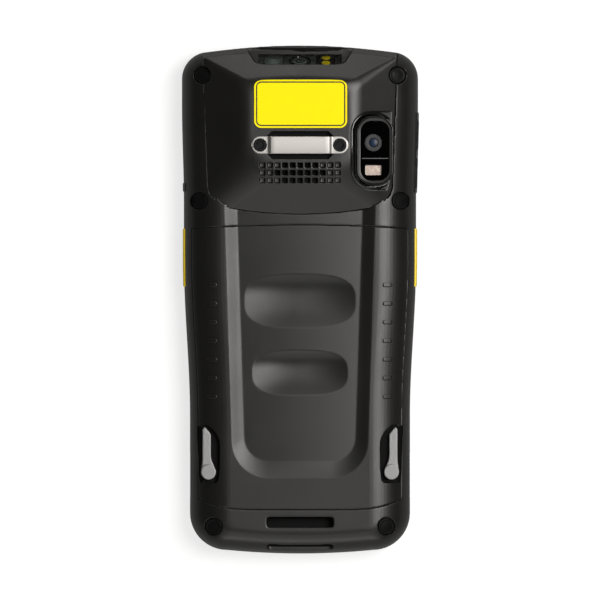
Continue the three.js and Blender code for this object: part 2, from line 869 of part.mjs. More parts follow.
function guard() {
  const room = (side) => sideBox(
    side, volumeInner, headWidth, guardTailY, guardHeadY,
    volumeFloor - guardMargin, volumeFloor + volumeHeight + guardMargin,
  );
  return backLoft(guardProud).intersect(join(room(-1), room(1)));
}

function guardRecess() {
  const margin = guardMargin * 2;
  return sideBox(
    -1, headWidth / 2 - guardProud, headWidth, guardTailY + margin, guardHeadY - margin,
    volumeFloor, volumeFloor + volumeHeight,
  );
}

function cradleRecess(side) {
  return sideBox(
    side, tailWidth / 2 - cradleDepth, headWidth, cradleTailY, cradleHeadY, cradleFloor, cradleTop,
  );
}

function strapPassage() {
  const y0 = strapSlotY - strapSlotHalfLength;
  const y1 = strapSlotY + strapSlotHalfLength;
  const passTop = strapPassFloor + strapPassHeight;
  const corner = strapSlotCorner;
  return join(
    roundedSlab(-strapSlotHalfWidth, strapSlotHalfWidth, y0, y1, corner, strapPassFloor, bodyDepth + overrun),
    box(-strapSlotHalfWidth, strapSlotHalfWidth, tailEnd - overrun, y1 - corner, strapPassFloor, passTop),
  );
}

function engineFrame(geometry) {
  geometry.rotateX(engineTurn);
  geometry.translate(0, engineY, engineZ);
  return geometry;
}

function engineBox(x0, x1, y0, y1, z0, z1) {
  const geometry = new THREE.BoxGeometry(x1 - x0, y1 - y0, z1 - z0);
  geometry.translate((x0 + x1) / 2, (y0 + y1) / 2, (z0 + z1) / 2);
  return solid(engineFrame(geometry));
}

function engineRod(radius, x, z, y0, y1, sides = roundSides) {
  const geometry = new THREE.CylinderGeometry(radius, radius, y1 - y0, sides);
  geometry.translate(x, (y0 + y1) / 2, z);
  return solid(engineFrame(geometry));
}

function engineRoom() {
  return engineBox(
    -engineHalfWidth - fit, engineHalfWidth + fit, -engineDepth - fit, windowThickness + windowInset,
    -engineHalfHeight - fit, engineHalfHeight + fit,
  );
}

function rearHousing() {
  const gap = seamGap / 2;
  const bay = roundedSlab(
    -bayHalfWidth, bayHalfWidth, bayTailY, bayHeadY, bayCorner, bayFloor, bodyDepth + overrun,
  );
  const tonguePocket = (side) => sideBox(
    side, tongueX - tongueHalfWidth - fit, tongueX + tongueHalfWidth + fit,
    coverHeadY - tongueThickness, coverHeadY + tongueReach + fit,
    coverSeat - tongueDrop, coverSeat + tongueDrop / 2 + tongueThickness + fit,
  );
  const headRoom = roundedSlab(
    -waistScrewX + bossRadius, waistScrewX - bossRadius, hoodTailY + sideWall, boardHeadY,
    glassCorner, partingHeight - overrun, hoodSeat - sideWall,
  );
  const hoodSpace = hoodRoom(hoodSeat - fit, hoodSkirtY - fit, partingHeight - overrun);
  const hood = hoodLoft(seamGap).intersect(hoodSpace);
  let housing = join(backLoft(), guard());
  housing = cut(
    housing, hood, coverPrism(-gap, coverSeat - fit), bay, channelCutter(), strapPassage(), headRoom,
    engineRoom(), tonguePocket(-1), tonguePocket(1), guardRecess(), cradleRecess(-1), cradleRecess(1),
    cameraRecess(),
    sealRing(fit, coverSeat - fit - sealHeight + sealProud, coverSeat + overrun),
  );
  for (const side of [-1, 1]) {
    const notch = rod(
      latchNotchRadius, side * latchX, latchY, coverSeat - fit - latchNotchDepth, bodyDepth + overrun,
    );
    const grown = backLoft(triggerProud);
    const pocket = sideBox(
      side, triggerInner - triggerTravel - fit, headWidth, triggerTailY - fit, triggerHeadY + fit,
      triggerFloor - fit, triggerFloor + triggerHeight + fit,
    );
    housing = cut(housing, notch, grown.intersect(pocket));
  }
  for (const [headY, tailY] of [[volumeUpHeadY, volumeUpTailY], [volumeDownHeadY, volumeDownTailY]]) {
    const pocket = sideBox(
      1, volumeInner - volumeTravel - fit, headWidth, tailY - fit, headY + fit,
      volumeFloor - fit, volumeFloor + volumeHeight + fit,
    );
    housing = cut(housing, pocket);
  }
  for (const place of screwPlaces) housing = cut(housing, screwBore(place));
  return housing;
}

function sealRing(margin, floor, top) {
  const near = sealInset - margin;
  const far = sealInset + sealWidth + margin;
  const outer = roundedSlab(
    -bayHalfWidth - far, bayHalfWidth + far, bayTailY - far, bayHeadY + far, bayCorner + far, floor, top,
  );
  const inner = roundedSlab(
    -bayHalfWidth - near, bayHalfWidth + near, bayTailY - near, bayHeadY + near, bayCorner + near,
    floor - overrun, top + overrun,
  );
  return cut(outer, inner);
}

// Scan hood

function windowShape(gap) {
  const mouth = headEnd + overrun;
  const floor = headEnd - windowDepth + gap;
  const shoulder = floor + (windowDepth - windowLip) / 5;
  return outlineShape([
    [-windowHalfFloor + gap, floor],
    [windowHalfFloor - gap, floor],
    [windowShoulder - gap, shoulder],
    [windowHalfMouth - gap, headEnd - windowLip / 2],
    [windowHalfMouth - gap, mouth],
    [-windowHalfMouth + gap, mouth],
    [-windowHalfMouth + gap, headEnd - windowLip / 2],
    [-windowShoulder + gap, shoulder],
  ]);
}

function scanWindow() {
  const far = engineHalfHeight * 4;
  const pane = engineBox(
    -headWidth, headWidth, windowInset, windowInset + windowThickness, -far, far,
  );
  const room = slab(windowShape(fit), windowSill, hoodTop);
  return pane.intersect(room).intersect(hoodLoft(-fit));
}

function strapBarShape(gap) {
  const radius = strapBarRadius + gap;
  const span = strapBarHalfSpan + radius;
  return roundedShape(-span, span, strapBarY - radius, strapBarY + radius, radius);
}

function strapRecess() {
  const half = strapRecessHalfWidth;
  const long = strapRecessHalfLength;
  const corner = strapRecessCorner;
  const shape = outlineShape([
    [-half, -long + corner], [-half + corner, -long], [half - corner, -long], [half, -long + corner],
    [half, long - corner], [half - corner, long], [-half + corner, long], [-half, long - corner],
  ].map(([x, y]) => [x, y + strapBarY]));
  return slab(shape, hoodTop - strapRecessDepth, hoodTop + overrun);
}

function grille() {
  const holes = [];
  const middle = (grilleColumns - 1) / 2;
  grilleOpenColumns.forEach((openColumns, row) => {
    const y = grilleHeadY - row * grillePitch;
    const blindFloor = hoodTop - grilleBlindDepth - grilleBlindDepth * grilleSlopeDropShares[row];
    for (let column = 0; column < grilleColumns; column += 1) {
      const x = (column - middle) * grillePitch;
      const open = Math.abs(column - middle) <= (openColumns - 1) / 2;
      const floor = open ? speakerTop - fit : blindFloor;
      const half = grilleHole / 2;
      holes.push(box(x - half, x + half, y - half, y + half, floor, hoodTop + overrun));
    }
  });
  return holes;
}

function cameraRecess() {
  const corner = cameraCorner;
  const low = cameraX - cameraHalfWidth;
  return roundedSlab(
    low, low + headWidth, cameraY - cameraHalfLength, cameraY + cameraHalfLength, corner,
    cameraFloor, hoodTop + overrun, bezelCurve,
  );
}

function scanHood() {
  const flashX = cameraLensX;
  let hood = hoodLoft().intersect(hoodRoom(hoodSeat, hoodSkirtY, partingHeight + fit));
  const skirtRoom = box(
    -engineHalfWidth - fit, engineHalfWidth + fit, engineY - windowInset - windowThickness,
    headEnd - sideWall, 0, windowSill,
  );
  hood = cut(
    hood, slab(windowShape(0), windowSill, hoodTop + overrun), engineRoom(), skirtRoom, cameraRecess(),
    rod(cameraLensRadius + fit, cameraLensX, cameraLensY, 0, hoodTop),
    box(
      flashX - flashHalfWidth - fit, flashX + flashHalfWidth + fit, flashY - flashHalfLength - fit,
      flashY + flashHalfLength + fit, cameraFloor - flashDepth, hoodTop,
    ),
    slab(strapBarShape(fit), hoodTop - strapBarSink, hoodTop + overrun), strapRecess(),
    box(
      -speakerHalfWidth - fit, speakerHalfWidth + fit,
      speakerY - speakerHalfLength - fit, speakerY + speakerHalfLength + fit, 0, speakerTop + fit,
    ),
    ...grille(),
  );
  for (const side of [-1, 1]) {
    const bottom = hoodTop - strapBarSink + strapBarThickness - strapScrewLength;
    const radius = screwShankRadius + fit;
    hood = cut(hood, rod(radius, side * strapBarHalfSpan, strapBarY, bottom - fit, hoodTop, pinSides));
  }
  for (const place of screwPlaces) hood = cut(hood, screwBore(place));
  return hood;
}

function strapBar() {
  const low = hoodTop - strapBarSink;
  const span = strapBarHalfSpan + strapBarRadius;
  const lifted = low + strapBarLift;
  const under = [
    [-span, low], [-strapBarJoggleStart, low], [-strapBarJoggleEnd, lifted],
    [strapBarJoggleEnd, lifted], [strapBarJoggleStart, low], [span, low],
  ];
  const over = [...under].reverse().map(([x, z]) => [x, z + strapBarThickness]);
  const geometry = new THREE.ExtrudeGeometry(outlineShape([...under, ...over]), {
    depth: strapBarRadius * 4, bevelEnabled: false,
  });
  geometry.rotateX(Math.PI / 2);
  geometry.translate(0, strapBarY + strapBarRadius * 2, 0);
  let bar = solid(geometry).intersect(slab(strapBarShape(0), 0, hoodTop + overrun));
  for (const side of [-1, 1]) {
    const radius = screwShankRadius + fit;
    bar = cut(bar, rod(radius, side * strapBarHalfSpan, strapBarY, 0, hoodTop + overrun, pinSides));
  }
  return bar;
}

function strapScrew(side) {
  const x = side * strapBarHalfSpan;
  const seat = hoodTop - strapBarSink + strapBarThickness;
  const top = seat + strapScrewHeadHeight;
  return cut(
    join(
      rod(strapScrewHeadRadius, x, strapBarY, seat, top),
      rod(screwShankRadius, x, strapBarY, seat - strapScrewLength, seat + strapScrewHeadHeight / 2, pinSides),
    ),
    rod(screwSocketRadius, x, strapBarY, seat + strapScrewHeadHeight / 4, top + overrun, 6),
  );
}

// Camera

function cameraBezel() {
  const low = cameraFloor;
  const outer = roundedSlab(
    cameraX - bezelHalfWidth, cameraX + bezelHalfWidth, cameraY - bezelHalfLength, cameraY + bezelHalfLength,
    bezelCorner, low, low + bezelHeight, bezelCurve,
  );
  const width = bezelHalfWidth - bezelWall;
  const length = bezelHalfLength - bezelWall;
  const inner = roundedSlab(
    cameraX - width, cameraX + width, cameraY - length, cameraY + length, bezelCorner - bezelWall,
    low - overrun, low + overrun, bezelCurve,
  );
  return cut(outer, inner);
}

function cameraWindow() {
  const width = bezelHalfWidth - bezelWall - fit;
  const length = bezelHalfLength - bezelWall - fit;
  return roundedSlab(
    cameraX - width, cameraX + width, cameraY - length, cameraY + length, bezelCorner - bezelWall - fit,
    cameraFloor, cameraFloor + cameraWindowThickness, bezelCurve,
  );
}

function cameraLens() {
  const top = cameraFloor - fit / 2;
  const radius = cameraLensRadius;
  const barrel = rod(radius, cameraLensX, cameraLensY, hoodSeat, top);
  return cut(barrel, rod(radius / 2, cameraLensX, cameraLensY, top - radius / 4, hoodTop));
}

function flashLens() {
  const x = cameraLensX;
  return roundedSlab(
    x - flashHalfWidth, x + flashHalfWidth, flashY - flashHalfLength, flashY + flashHalfLength,
    flashHalfLength / 3, cameraFloor - flashDepth, cameraFloor - fit / 2,
  );
}

// Scan engine and its optics

function scanEngine() {
  return cut(
    engineBox(-engineHalfWidth, engineHalfWidth, -engineDepth, 0, -engineHalfHeight, engineHalfHeight),
    engineRod(engineLensRadius + fit, 0, 0, -engineLensLength - fit, overrun),
    engineBox(
      -aimerX - aimerHalf - fit, -aimerX + aimerHalf + fit, -aimerLength - fit, overrun,
      -aimerHalf - fit, aimerHalf + fit,
    ),
    engineBox(
      ledBoardX - ledBoardHalf - fit, ledBoardX + ledBoardHalf + fit, -ledBoardThickness - ledHeight, overrun,
      -ledSpacing, ledSpacing,
    ),
  );
}

function scanLens() {
  const radius = engineLensRadius;
  const profile = [
    [0, -engineLensLength],
    [radius, -engineLensLength],
    ...lensBarrelShares.map(([out, along]) => [radius * out, radius * along]),
  ].map(([x, y]) => new THREE.Vector2(x, y));
  return solid(engineFrame(new THREE.LatheGeometry(profile, roundSides)));
}

function aimingLens() {
  return engineBox(
    -aimerX - aimerHalf, -aimerX + aimerHalf, -aimerLength, -fit / 2, -aimerHalf, aimerHalf,
  );
}

function scanLeds() {
  const back = -ledBoardThickness - ledHeight + fit;
  const face = back + ledBoardThickness;
  const led = (z) => engineRod(ledRadius, ledBoardX, z, face - fit / 2, face + ledHeight, pinSides);
  const board = engineBox(
    ledBoardX - ledBoardHalf, ledBoardX + ledBoardHalf, back, face, -ledSpacing + fit, ledSpacing - fit,
  );
  return join(board, led(ledSpacing / 2), led(-ledSpacing / 2));
}

// Front housing and what it holds

function keyPlaces() {
  const keyRow = (names, sideMargin, gap, halfLength, y) => {
    const pitch = (2 * (keyFieldHalfWidth - sideMargin) + gap) / names.length;
    return names.map((name, column) => ({
      name: `key_${name}`,
      x: ((names.length - 1) / 2 - column) * pitch,
      y,
      halfWidth: (pitch - gap) / 2,
      halfLength,
      look: name === 'scan' ? looks.yellow : looks.key,
    }));
  };
  const numbers = numberKeys.flatMap((names, row) => keyRow(
    names, numberKeySideMargin, numberKeyGap, numberKeyHalfLength, numberKeyY - row * numberKeyPitchY,
  ));
  const functions = keyRow(
    functionKeys, functionKeySideMargin, functionKeyGap, functionKeyHalfLength, functionKeyY,
  );
  return [...functions, ...numbers];
}

function keyCap({ x, y, halfWidth, halfLength }) {
  const shape = roundedShape(
    x - halfWidth + keyBevel, x + halfWidth - keyBevel, y - halfLength + keyBevel, y + halfLength - keyBevel,
    keyCorner - keyBevel,
  );
  const geometry = new THREE.ExtrudeGeometry(shape, {
    depth: keyHeight - keyBevel * 2, bevelEnabled: true, bevelThickness: keyBevel, bevelSize: keyBevel,
    bevelSegments: 1, curveSegments: keyCurve,
  });
  geometry.translate(0, 0, keySink + keyBevel);
  return solid(geometry);
}

function frontHousing() {
  const groove = partingGroove;
  const low = rimInset * rimInsetShare;
  let housing = loft([
    planRing(bodyPlan(rimInset, rimInset, rimInset), 0),
    planRing(bodyPlan(low, low, low), rimHeight * rimHeightShare),
    planRing(bodyPlan(0, 0, 0), rimHeight),
    planRing(bodyPlan(0, 0, 0), partingHeight - groove),
    planRing(bodyPlan(groove, groove, groove), partingHeight),
  ]);
  const room = loft([
    planRing(bodyPlan(sideWall, sideWall, sideWall), frontWall),
    planRing(bodyPlan(sideWall, sideWall, sideWall), partingHeight + overrun),
  ]);
  const bosses = screwPlaces.map(({ x, y }) => rod(bossRadius, x, y, frontWall - fit, partingHeight));
  const body = loft([
    planRing(bodyPlan(groove, groove, groove), 0),
    planRing(bodyPlan(groove, groove, groove), partingHeight),
  ]);
  const seats = bosses.map((boss) => boss.intersect(body));
  const glassSeat = glassSink + glassThickness;
  housing = cut(
    join(cut(housing, room), ...seats),
    roundedSlab(
      -glassHalfWidth - fit, glassHalfWidth + fit, glassTailY - fit, glassHeadY + fit, glassCorner + fit,
      -overrun, glassSeat,
    ),
    roundedSlab(
      -displayHalfWidth, displayHalfWidth, displayTailY, displayHeadY, glassCorner, -overrun, frontWall + fit,
    ),
    roundedSlab(
      -keyFieldHalfWidth, keyFieldHalfWidth, keyFieldTailY, keyFieldHeadY, keyFieldCorner,
      -overrun, keyFieldDepth,
    ),
    box(
      -dockHalfWidth - fit, dockHalfWidth + fit, tailEnd - overrun, tailEnd + dockSink + dockDepth + fit,
      dockFloor, dockFloor + dockHeight + fit,
    ),
    engineRoom(), cradleRecess(-1), cradleRecess(1),
  );
  for (const { x, y, halfWidth, halfLength } of keyPlaces()) {
    housing = cut(housing, roundedSlab(
      x - halfWidth - fit, x + halfWidth + fit, y - halfLength - fit, y + halfLength + fit, keyCorner + fit,
      -overrun, frontWall + overrun / 2, keyCurve,
    ));
  }
  for (const { x, y } of screwPlaces) {
    const radius = screwShankRadius + fit;
    housing = cut(housing, rod(radius, x, y, screwTip - fit, partingHeight + overrun, pinSides));
  }
  return housing;
}

function displayGlass() {
  return roundedSlab(
    -glassHalfWidth, glassHalfWidth, glassTailY, glassHeadY, glassCorner,
    glassSink, glassSink + glassThickness,
  );
}

function displayModule() {
  const grow = displayMargin;
  return box(
    -displayHalfWidth - grow, displayHalfWidth + grow, displayTailY - grow, displayHeadY + grow,
    frontWall, frontWall + displayThickness,
  );
}

function keypadMembrane() {
  const low = keySink + keyHeight + keyClearance;
  const half = keyFieldHalfWidth - membraneSideMargin;
  return roundedSlab(
    -half, half, keyFieldTailY + membraneEndMargin, keyFieldHeadY - membraneEndMargin, keyCorner,
    low, low + membraneThickness,
  );
}

function mainBoard() {
  const low = frontWall + displayThickness + fit;
  return roundedSlab(
    -boardHalfWidth, boardHalfWidth, boardTailY, boardHeadY, glassCorner, low, low + boardThickness,
  );
}

function dockConnector() {
  const outer = tailEnd + dockSink + tailBow;
  return box(
    -dockHalfWidth, dockHalfWidth, outer, tailEnd + dockSink + dockDepth, dockFloor, dockFloor + dockHeight,
  );
}

// Battery

function batteryPack() {
  return roundedSlab(
    -bayHalfWidth + batteryGap, bayHalfWidth - batteryGap, bayTailY + batteryGap,
    bayHeadY - contactsDepth - fit, bayCorner, bayFloor, batteryTop,
  );
}

function batteryContacts() {
  return box(
    -contactsHalfWidth, contactsHalfWidth, bayHeadY - contactsDepth, bayHeadY,
    bayFloor, bayFloor + contactsHeight,
  );
}

function batterySeal() {
  const floor = coverSeat - fit - sealHeight + sealProud;
  return sealRing(0, floor, floor + sealHeight);
}

function speaker() {
  return roundedSlab(
    -speakerHalfWidth, speakerHalfWidth, speakerY - speakerHalfLength, speakerY + speakerHalfLength,
    keyCorner, speakerTop - speakerHeight, speakerTop,
  );
}

// The whole terminal

const terminal = new THREE.Group();

function add(name, shape, look) {
  const made = shape.getMesh();
  const geometry = new THREE.BufferGeometry();
  geometry.setAttribute('position', new THREE.Float32BufferAttribute(made.vertProperties, 3));
  geometry.setIndex(new THREE.Uint32BufferAttribute(made.triVerts, 1));
  geometry.computeVertexNormals();
  const mesh = new THREE.Mesh(geometry, new THREE.MeshStandardMaterial(look));
  mesh.name = name;
  terminal.add(mesh);
}

add('front_housing', frontHousing(), looks.charcoal);
add('rear_housing', rearHousing(), looks.charcoal);
add('scan_hood', scanHood(), looks.charcoal);
add('display_glass', displayGlass(), looks.glass);
add('display_module', displayModule(), looks.black);
add('main_board', mainBoard(), looks.board);
add('keypad_membrane', keypadMembrane(), looks.rubber);
add('scan_window', scanWindow(), looks.glass);
add('scan_engine', scanEngine(), looks.black);
add('scan_lens', scanLens(), looks.lens);
add('aiming_lens', aimingLens(), looks.lens);
add('scan_leds', scanLeds(), looks.yellow);
add('camera_bezel', cameraBezel(), looks.black);
add('camera_window', cameraWindow(), looks.glass);
add('camera_lens', cameraLens(), looks.lens);
add('flash_lens', flashLens(), looks.flash);
add('strap_bar', strapBar(), looks.steel);
add('strap_screw_left', strapScrew(-1), looks.darkSteel);
add('strap_screw_right', strapScrew(1), looks.darkSteel);
add('speaker', speaker(), looks.black);
for (const place of screwPlaces) {
  add(`screw_plug_${place.name}`, screwPlug(place), looks.rubber);
  add(`housing_screw_${place.name}`, housingScrew(place), looks.darkSteel);
}
add('battery_pack', batteryPack(), looks.battery);
add('battery_contacts', batteryContacts(), looks.gold);
add('battery_seal', batterySeal(), looks.rubber);
add('battery_cover', batteryCover(), looks.charcoal);
add('latch_left', latch(-1), looks.steel);
add('latch_right', latch(1), looks.steel);
add('trigger_left', triggerBlank(-1, triggerProud, triggerInner, 0), looks.yellow);
add('trigger_right', triggerBlank(1, triggerProud, triggerInner, 0), looks.yellow);
add('volume_up', volumeBlank(volumeUpHeadY, volumeUpTailY, volumeProud, volumeInner, 0), looks.black);
add('volume_down', volumeBlank(volumeDownHeadY, volumeDownTailY, volumeProud, volumeInner, 0), looks.black);
add('dock_connector', dockConnector(), looks.gold);
for (const place of keyPlaces()) add(place.name, keyCap(place), place.look);

export default terminal;
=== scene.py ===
import json
import math

import bpy
import numpy as np
from bpy.props import FloatProperty, FloatVectorProperty, IntProperty, PointerProperty
from bpy.types import Operator, Panel, PropertyGroup
from mathutils import Matrix, Vector
from mathutils.bvhtree import BVHTree


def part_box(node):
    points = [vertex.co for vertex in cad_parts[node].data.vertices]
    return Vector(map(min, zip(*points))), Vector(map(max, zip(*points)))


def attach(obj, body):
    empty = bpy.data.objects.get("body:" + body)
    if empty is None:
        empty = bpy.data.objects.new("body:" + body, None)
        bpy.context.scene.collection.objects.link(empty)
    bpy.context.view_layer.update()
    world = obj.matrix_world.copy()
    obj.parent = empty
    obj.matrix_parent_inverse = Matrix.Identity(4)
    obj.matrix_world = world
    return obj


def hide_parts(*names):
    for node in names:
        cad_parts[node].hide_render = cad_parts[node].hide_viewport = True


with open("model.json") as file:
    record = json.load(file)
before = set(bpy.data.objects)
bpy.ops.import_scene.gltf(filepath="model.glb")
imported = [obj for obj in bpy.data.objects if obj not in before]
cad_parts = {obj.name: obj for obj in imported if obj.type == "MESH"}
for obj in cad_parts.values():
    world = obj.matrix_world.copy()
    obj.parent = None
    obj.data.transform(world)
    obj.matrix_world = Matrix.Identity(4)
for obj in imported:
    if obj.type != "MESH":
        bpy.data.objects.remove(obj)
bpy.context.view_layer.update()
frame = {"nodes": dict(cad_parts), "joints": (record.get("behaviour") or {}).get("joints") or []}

bl_info = {
    "name": "Portable barcode data terminal",
    "version": (1, 0, 0),
    "blender": (4, 5, 0),
    "location": "3D View > Sidebar > Terminal",
    "description": "Builds the finished pieces of a hand-held barcode terminal round its packed frame",
    "category": "Object",
}

MM = 0.001
JOINTS = {joint["name"]: joint for joint in frame["joints"]}


def middle(node):
    """The middle of a CAD node's box."""
    low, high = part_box(node)
    return (low + high) / 2


def half_size(node):
    """Half the size of a CAD node's box."""
    low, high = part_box(node)
    return (high - low) / 2


# Places that come from the frame
HEAD_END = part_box("front_housing")[1].y
TAIL_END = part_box("front_housing")[0].y
HEAD_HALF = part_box("front_housing")[1].x
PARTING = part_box("front_housing")[1].z
BODY_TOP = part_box("rear_housing")[1].z
HOOD_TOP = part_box("scan_hood")[1].z
HOOD_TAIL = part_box("scan_hood")[0].y
HOOD_SKIRT_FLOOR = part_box("scan_hood")[0].z
BAR = middle("strap_bar")
COVER_HEAD = JOINTS["battery_cover_hinge"]["pos_m"][1]
SIDES = {"left": -1, "right": 1}
LATCH_PIVOTS = {side: JOINTS[f"latch_{side}_pivot"]["pos_m"][:2] for side in SIDES}
GROOVE_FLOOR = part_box("latch_left")[0].z + 0.2 * MM


def mm(*values):
    """Values given in millimetres, in metres."""
    return tuple(value * MM for value in values)


# Openings and small pieces, as half widths, places and heights on the body
OVERRUN = MM
PRESS_GAP = 0.15 * MM
GUARD_PROUD = 0.3 * MM
GUARD_HEIGHTS = mm(8.6, 12.9)
GUARDS = {"left": mm(33.6, 36.0), "right": mm(33.2, 57.8)}
TRIGGER_INNER = 32.7 * MM
TRIGGER_HEIGHT = 2.8 * MM
TRIGGER_PROUD = 0.35 * MM
VOLUME_PROUD = 0.36 * MM
HOOD_ROOM = mm(17.3, 70, 4)
COVER_SEAT_GAP = 0.03 * MM
SEAL_WIDTH = MM
SEAL_CORNERS = mm(3, 2)
BAY = mm(-22.6, 22.6, -60.5, 20)
COVER_PLUG = mm(-22.1, 22.1, -59.5, 19.5)
TONGUE_POCKET = mm(23.9, 29.1, 21.7, 25.6, 14.8, 18)
TONGUE = mm(24.1, 28.9, 20.3, 25.15, 15.8, 17.7)
HEAD_ROOM = mm(-28, 28, 28.7, 62, 0, 15.4)
SKIRT_ROOM = mm(-13.8, 13.8, 60, 72.5, 0, 16)
CRADLE_RECESS = mm(-61.1, -47.9, 4.4, 11.6)
CRADLE_INNER = 33.3 * MM
KEEPER_RADIUS, KEEPER_FLOOR = mm(2.9, 13.5)
LATCH_PIN, LATCH_BORE, LATCH_KNOB = mm(1.0, 1.15, 2.33)
LEVER_FLOOR = 17.2 * MM
WELL_LIFT = 2.6 * MM
PLUG_RADIUS, PLUG_BORE, SCREW_BORE = mm(2.55, 2.72, 1.0)
PLUG_SEAT = 1.9 * MM
SLOT_HALF = 10.3 * MM
SLOT_ENDS = mm(-70.55, -67.25)
SLOT_HEIGHTS = mm(15, 17.8)
DISPLAY_OPENING = mm(-26.6, 26.6, -20.5, 66, -1, 3)
KEY_FIELD = mm(-28, 28, -74.6, -28.2)
DOCK_SLOT_HALF = 8.3 * MM
DOCK_SLOT_REST = mm(-70, 3.2, 6.7)
FACE_THICKNESS = 2.4 * MM
BAR_JOGGLE = mm(8.8, 10.1)
STRAP_SCREW_HEAD, STRAP_SCREW_HOLE, STRAP_SCREW_BORE = mm(1.98, 2.1, 1.1)
CAMERA_BORE = mm(5.2, 10.0, 4.2)
CAMERA_PANE = mm(4.45, 9.25, 3.35)
BEZEL_CORNER = 4.9 * MM
TRIM_OUTSIDE, TRIM_MOUTH, TRIM_THROAT = mm(5.15, 9.95, 4.15), mm(5.1, 9.9, 4.0), mm(4.5, 9.3, 3.4)
LENS_BORE, LENS_PORT = mm(2.95, 2.82)
FLASH_BORE, FLASH_PORT, FLASH_COVER = mm(2.85, 1.85, 0.6), mm(2.55, 1.55, 0.4), mm(2.7, 1.7, 0.5)
DIVIDER_HALF = 4.1 * MM
DIVIDER_ENDS = mm(2.5, 2.25)
ENGINE_ROOM = mm(-8.3, 2.4, -4.2, 4.2)
WINDOW_PANE = mm(-18, 18, 1.2, 2.4, -16, 16)
LED_BOARD_HALF = 2.7 * MM
LED_BOARD = mm(-1.0, 0.15, -3.6, 3.6)
LED_SPREAD = 1.85 * MM
RING_BLUR = 0.08
DIMPLES = {"upper_dimple": mm(-0.5, 17.2, 8.3), "lower_dimple": mm(-22.7, 14.8, 6.95)}
TICK_PLACE = 27.1 * MM
TICK_START, TICK_PITCH = 4.5, 5.76
BAR_STEP, BAR_EDGE, BAR_TIP = mm(0.6, 0.22, 0.02)
SCREW_SOCKET, SCREW_SHANK = mm(1.15, 1.0)
PLATE_STEP, PLATE_BOW, PLATE_RISE, PLATE_EDGE, PLATE_LINE = mm(0.8, 0.45, 0.12, 0.05, 0.95)
LEGEND_SIZE, LEGEND_DEPTH, LEGEND_LIFT = mm(3.4, 0.04, 0.02)
CONTACT_COUNT = 10
CONTACT_PITCH, CONTACT_HALF, CONTACT_INSET = mm(1.4, 0.4, 0.8)

# How far tools for cuts reach beyond the body, and beyond the channel's rim
TOOL_REACH, RIM_REACH = mm(4, 3)

# A plug's edge, as how far it draws in and how far it lies below the skin, then its dished middle
PLUG_EDGE = ((0, 0.45), (0.03, 0.3), (0.1, 0.2), (0.2, 0.15), (0.45, 0.15), (0.6, 0.27))
PLUG_DISH = 0.27
PLUG_DISH_SHARES = (0.6, 0.4, 0.2, 0.03)

# A key's cap, as how far it draws in and how far it lies above its lower face
KEY_CAP = ((0, 0.55), (0.06, 0.32), (0.2, 0.14), (0.45, 0.05), (0.9, 0.01), (1.6, 0), (2.4, 0))
KEY_CORNER, KEY_LEAST_CORNER = mm(1.3, 0.35)


def length(name, description, millimetres):
    return FloatProperty(name=name, description=description, default=millimetres * MM, unit="LENGTH")


def number(name, description, value):
    return FloatProperty(name=name, description=description, default=value)


def colour(name, description, value):
    return FloatVectorProperty(
        name=name, description=description, default=value, size=3, min=0, max=1, subtype="COLOR",
    )


class BodySizes(PropertyGroup):
    """The body that both housings and the battery cover share"""

    grip_width: length("Grip width", "Width at the triggers", 72.0)
    tail_width: length("Tail width", "Width at the latches", 68.2)
    head_corner: length("Head corner", "Radius of the plan at the head's corners", 8.4)
    tail_corner: length("Tail corner", "Radius of the plan at the tail's corners", 11.5)
    head_bow: length("Head bow", "How far the head's end bows out", 2.0)
    tail_bow: length("Tail bow", "How far the tail's end bows out", 1.1)
    taper_tail: length("Taper tail", "Where the sides begin to widen from the tail", -36.0)
    taper_grip: length("Taper grip", "Where that widening ends", 12.0)
    shoulder_grip: length("Shoulder grip", "Where the sides begin to widen to the head", 30.0)
    shoulder_head: length("Shoulder head", "Where that widening ends", 60.0)
    flank_start: length("Flank start", "Height where the sides begin to round over", 9.5)
    flank_width: length("Flank width", "Width of the rounding at the sides", 12.5)
    head_round: length("Head round", "Length of the rounding at the head", 9.0)
    tail_round: length("Tail round", "Length of the rounding at the tail", 7.0)
    rim_inset: length("Rim inset", "How far the front rim draws in", 2.2)
    rim_height: length("Rim height", "Height of the front rim's rounding", 2.6)
    groove: length("Parting groove", "Depth of the groove between the housings", 0.25)
    seam: length("Seam", "Gap between neighbouring mouldings", 0.3)
    tight_seam: length("Tight seam", "Gap round the battery cover and the hood", 0.1)
    seat_shift: length("Seat shift", "How far the hood sits to the left of its seat's middle", 0.13)
    press_room: length("Press room", "Room behind a trigger or a volume button for its press", 0.85)
    wall: length("Wall", "Thickness of the housings' walls", 2.2)
    cover_reach: length("Cover reach", "From the tail's end to the cover's tail seam", 13.8)
    cover_arch: length("Cover arch", "How far the cover's head seam falls back at the sides", 1.2)
    cover_sweep: length("Cover sweep", "How far its tail seam comes forward at the sides", 3.6)
    cover_seat: length("Cover seat", "Height of the ledge under the cover", 15.8)


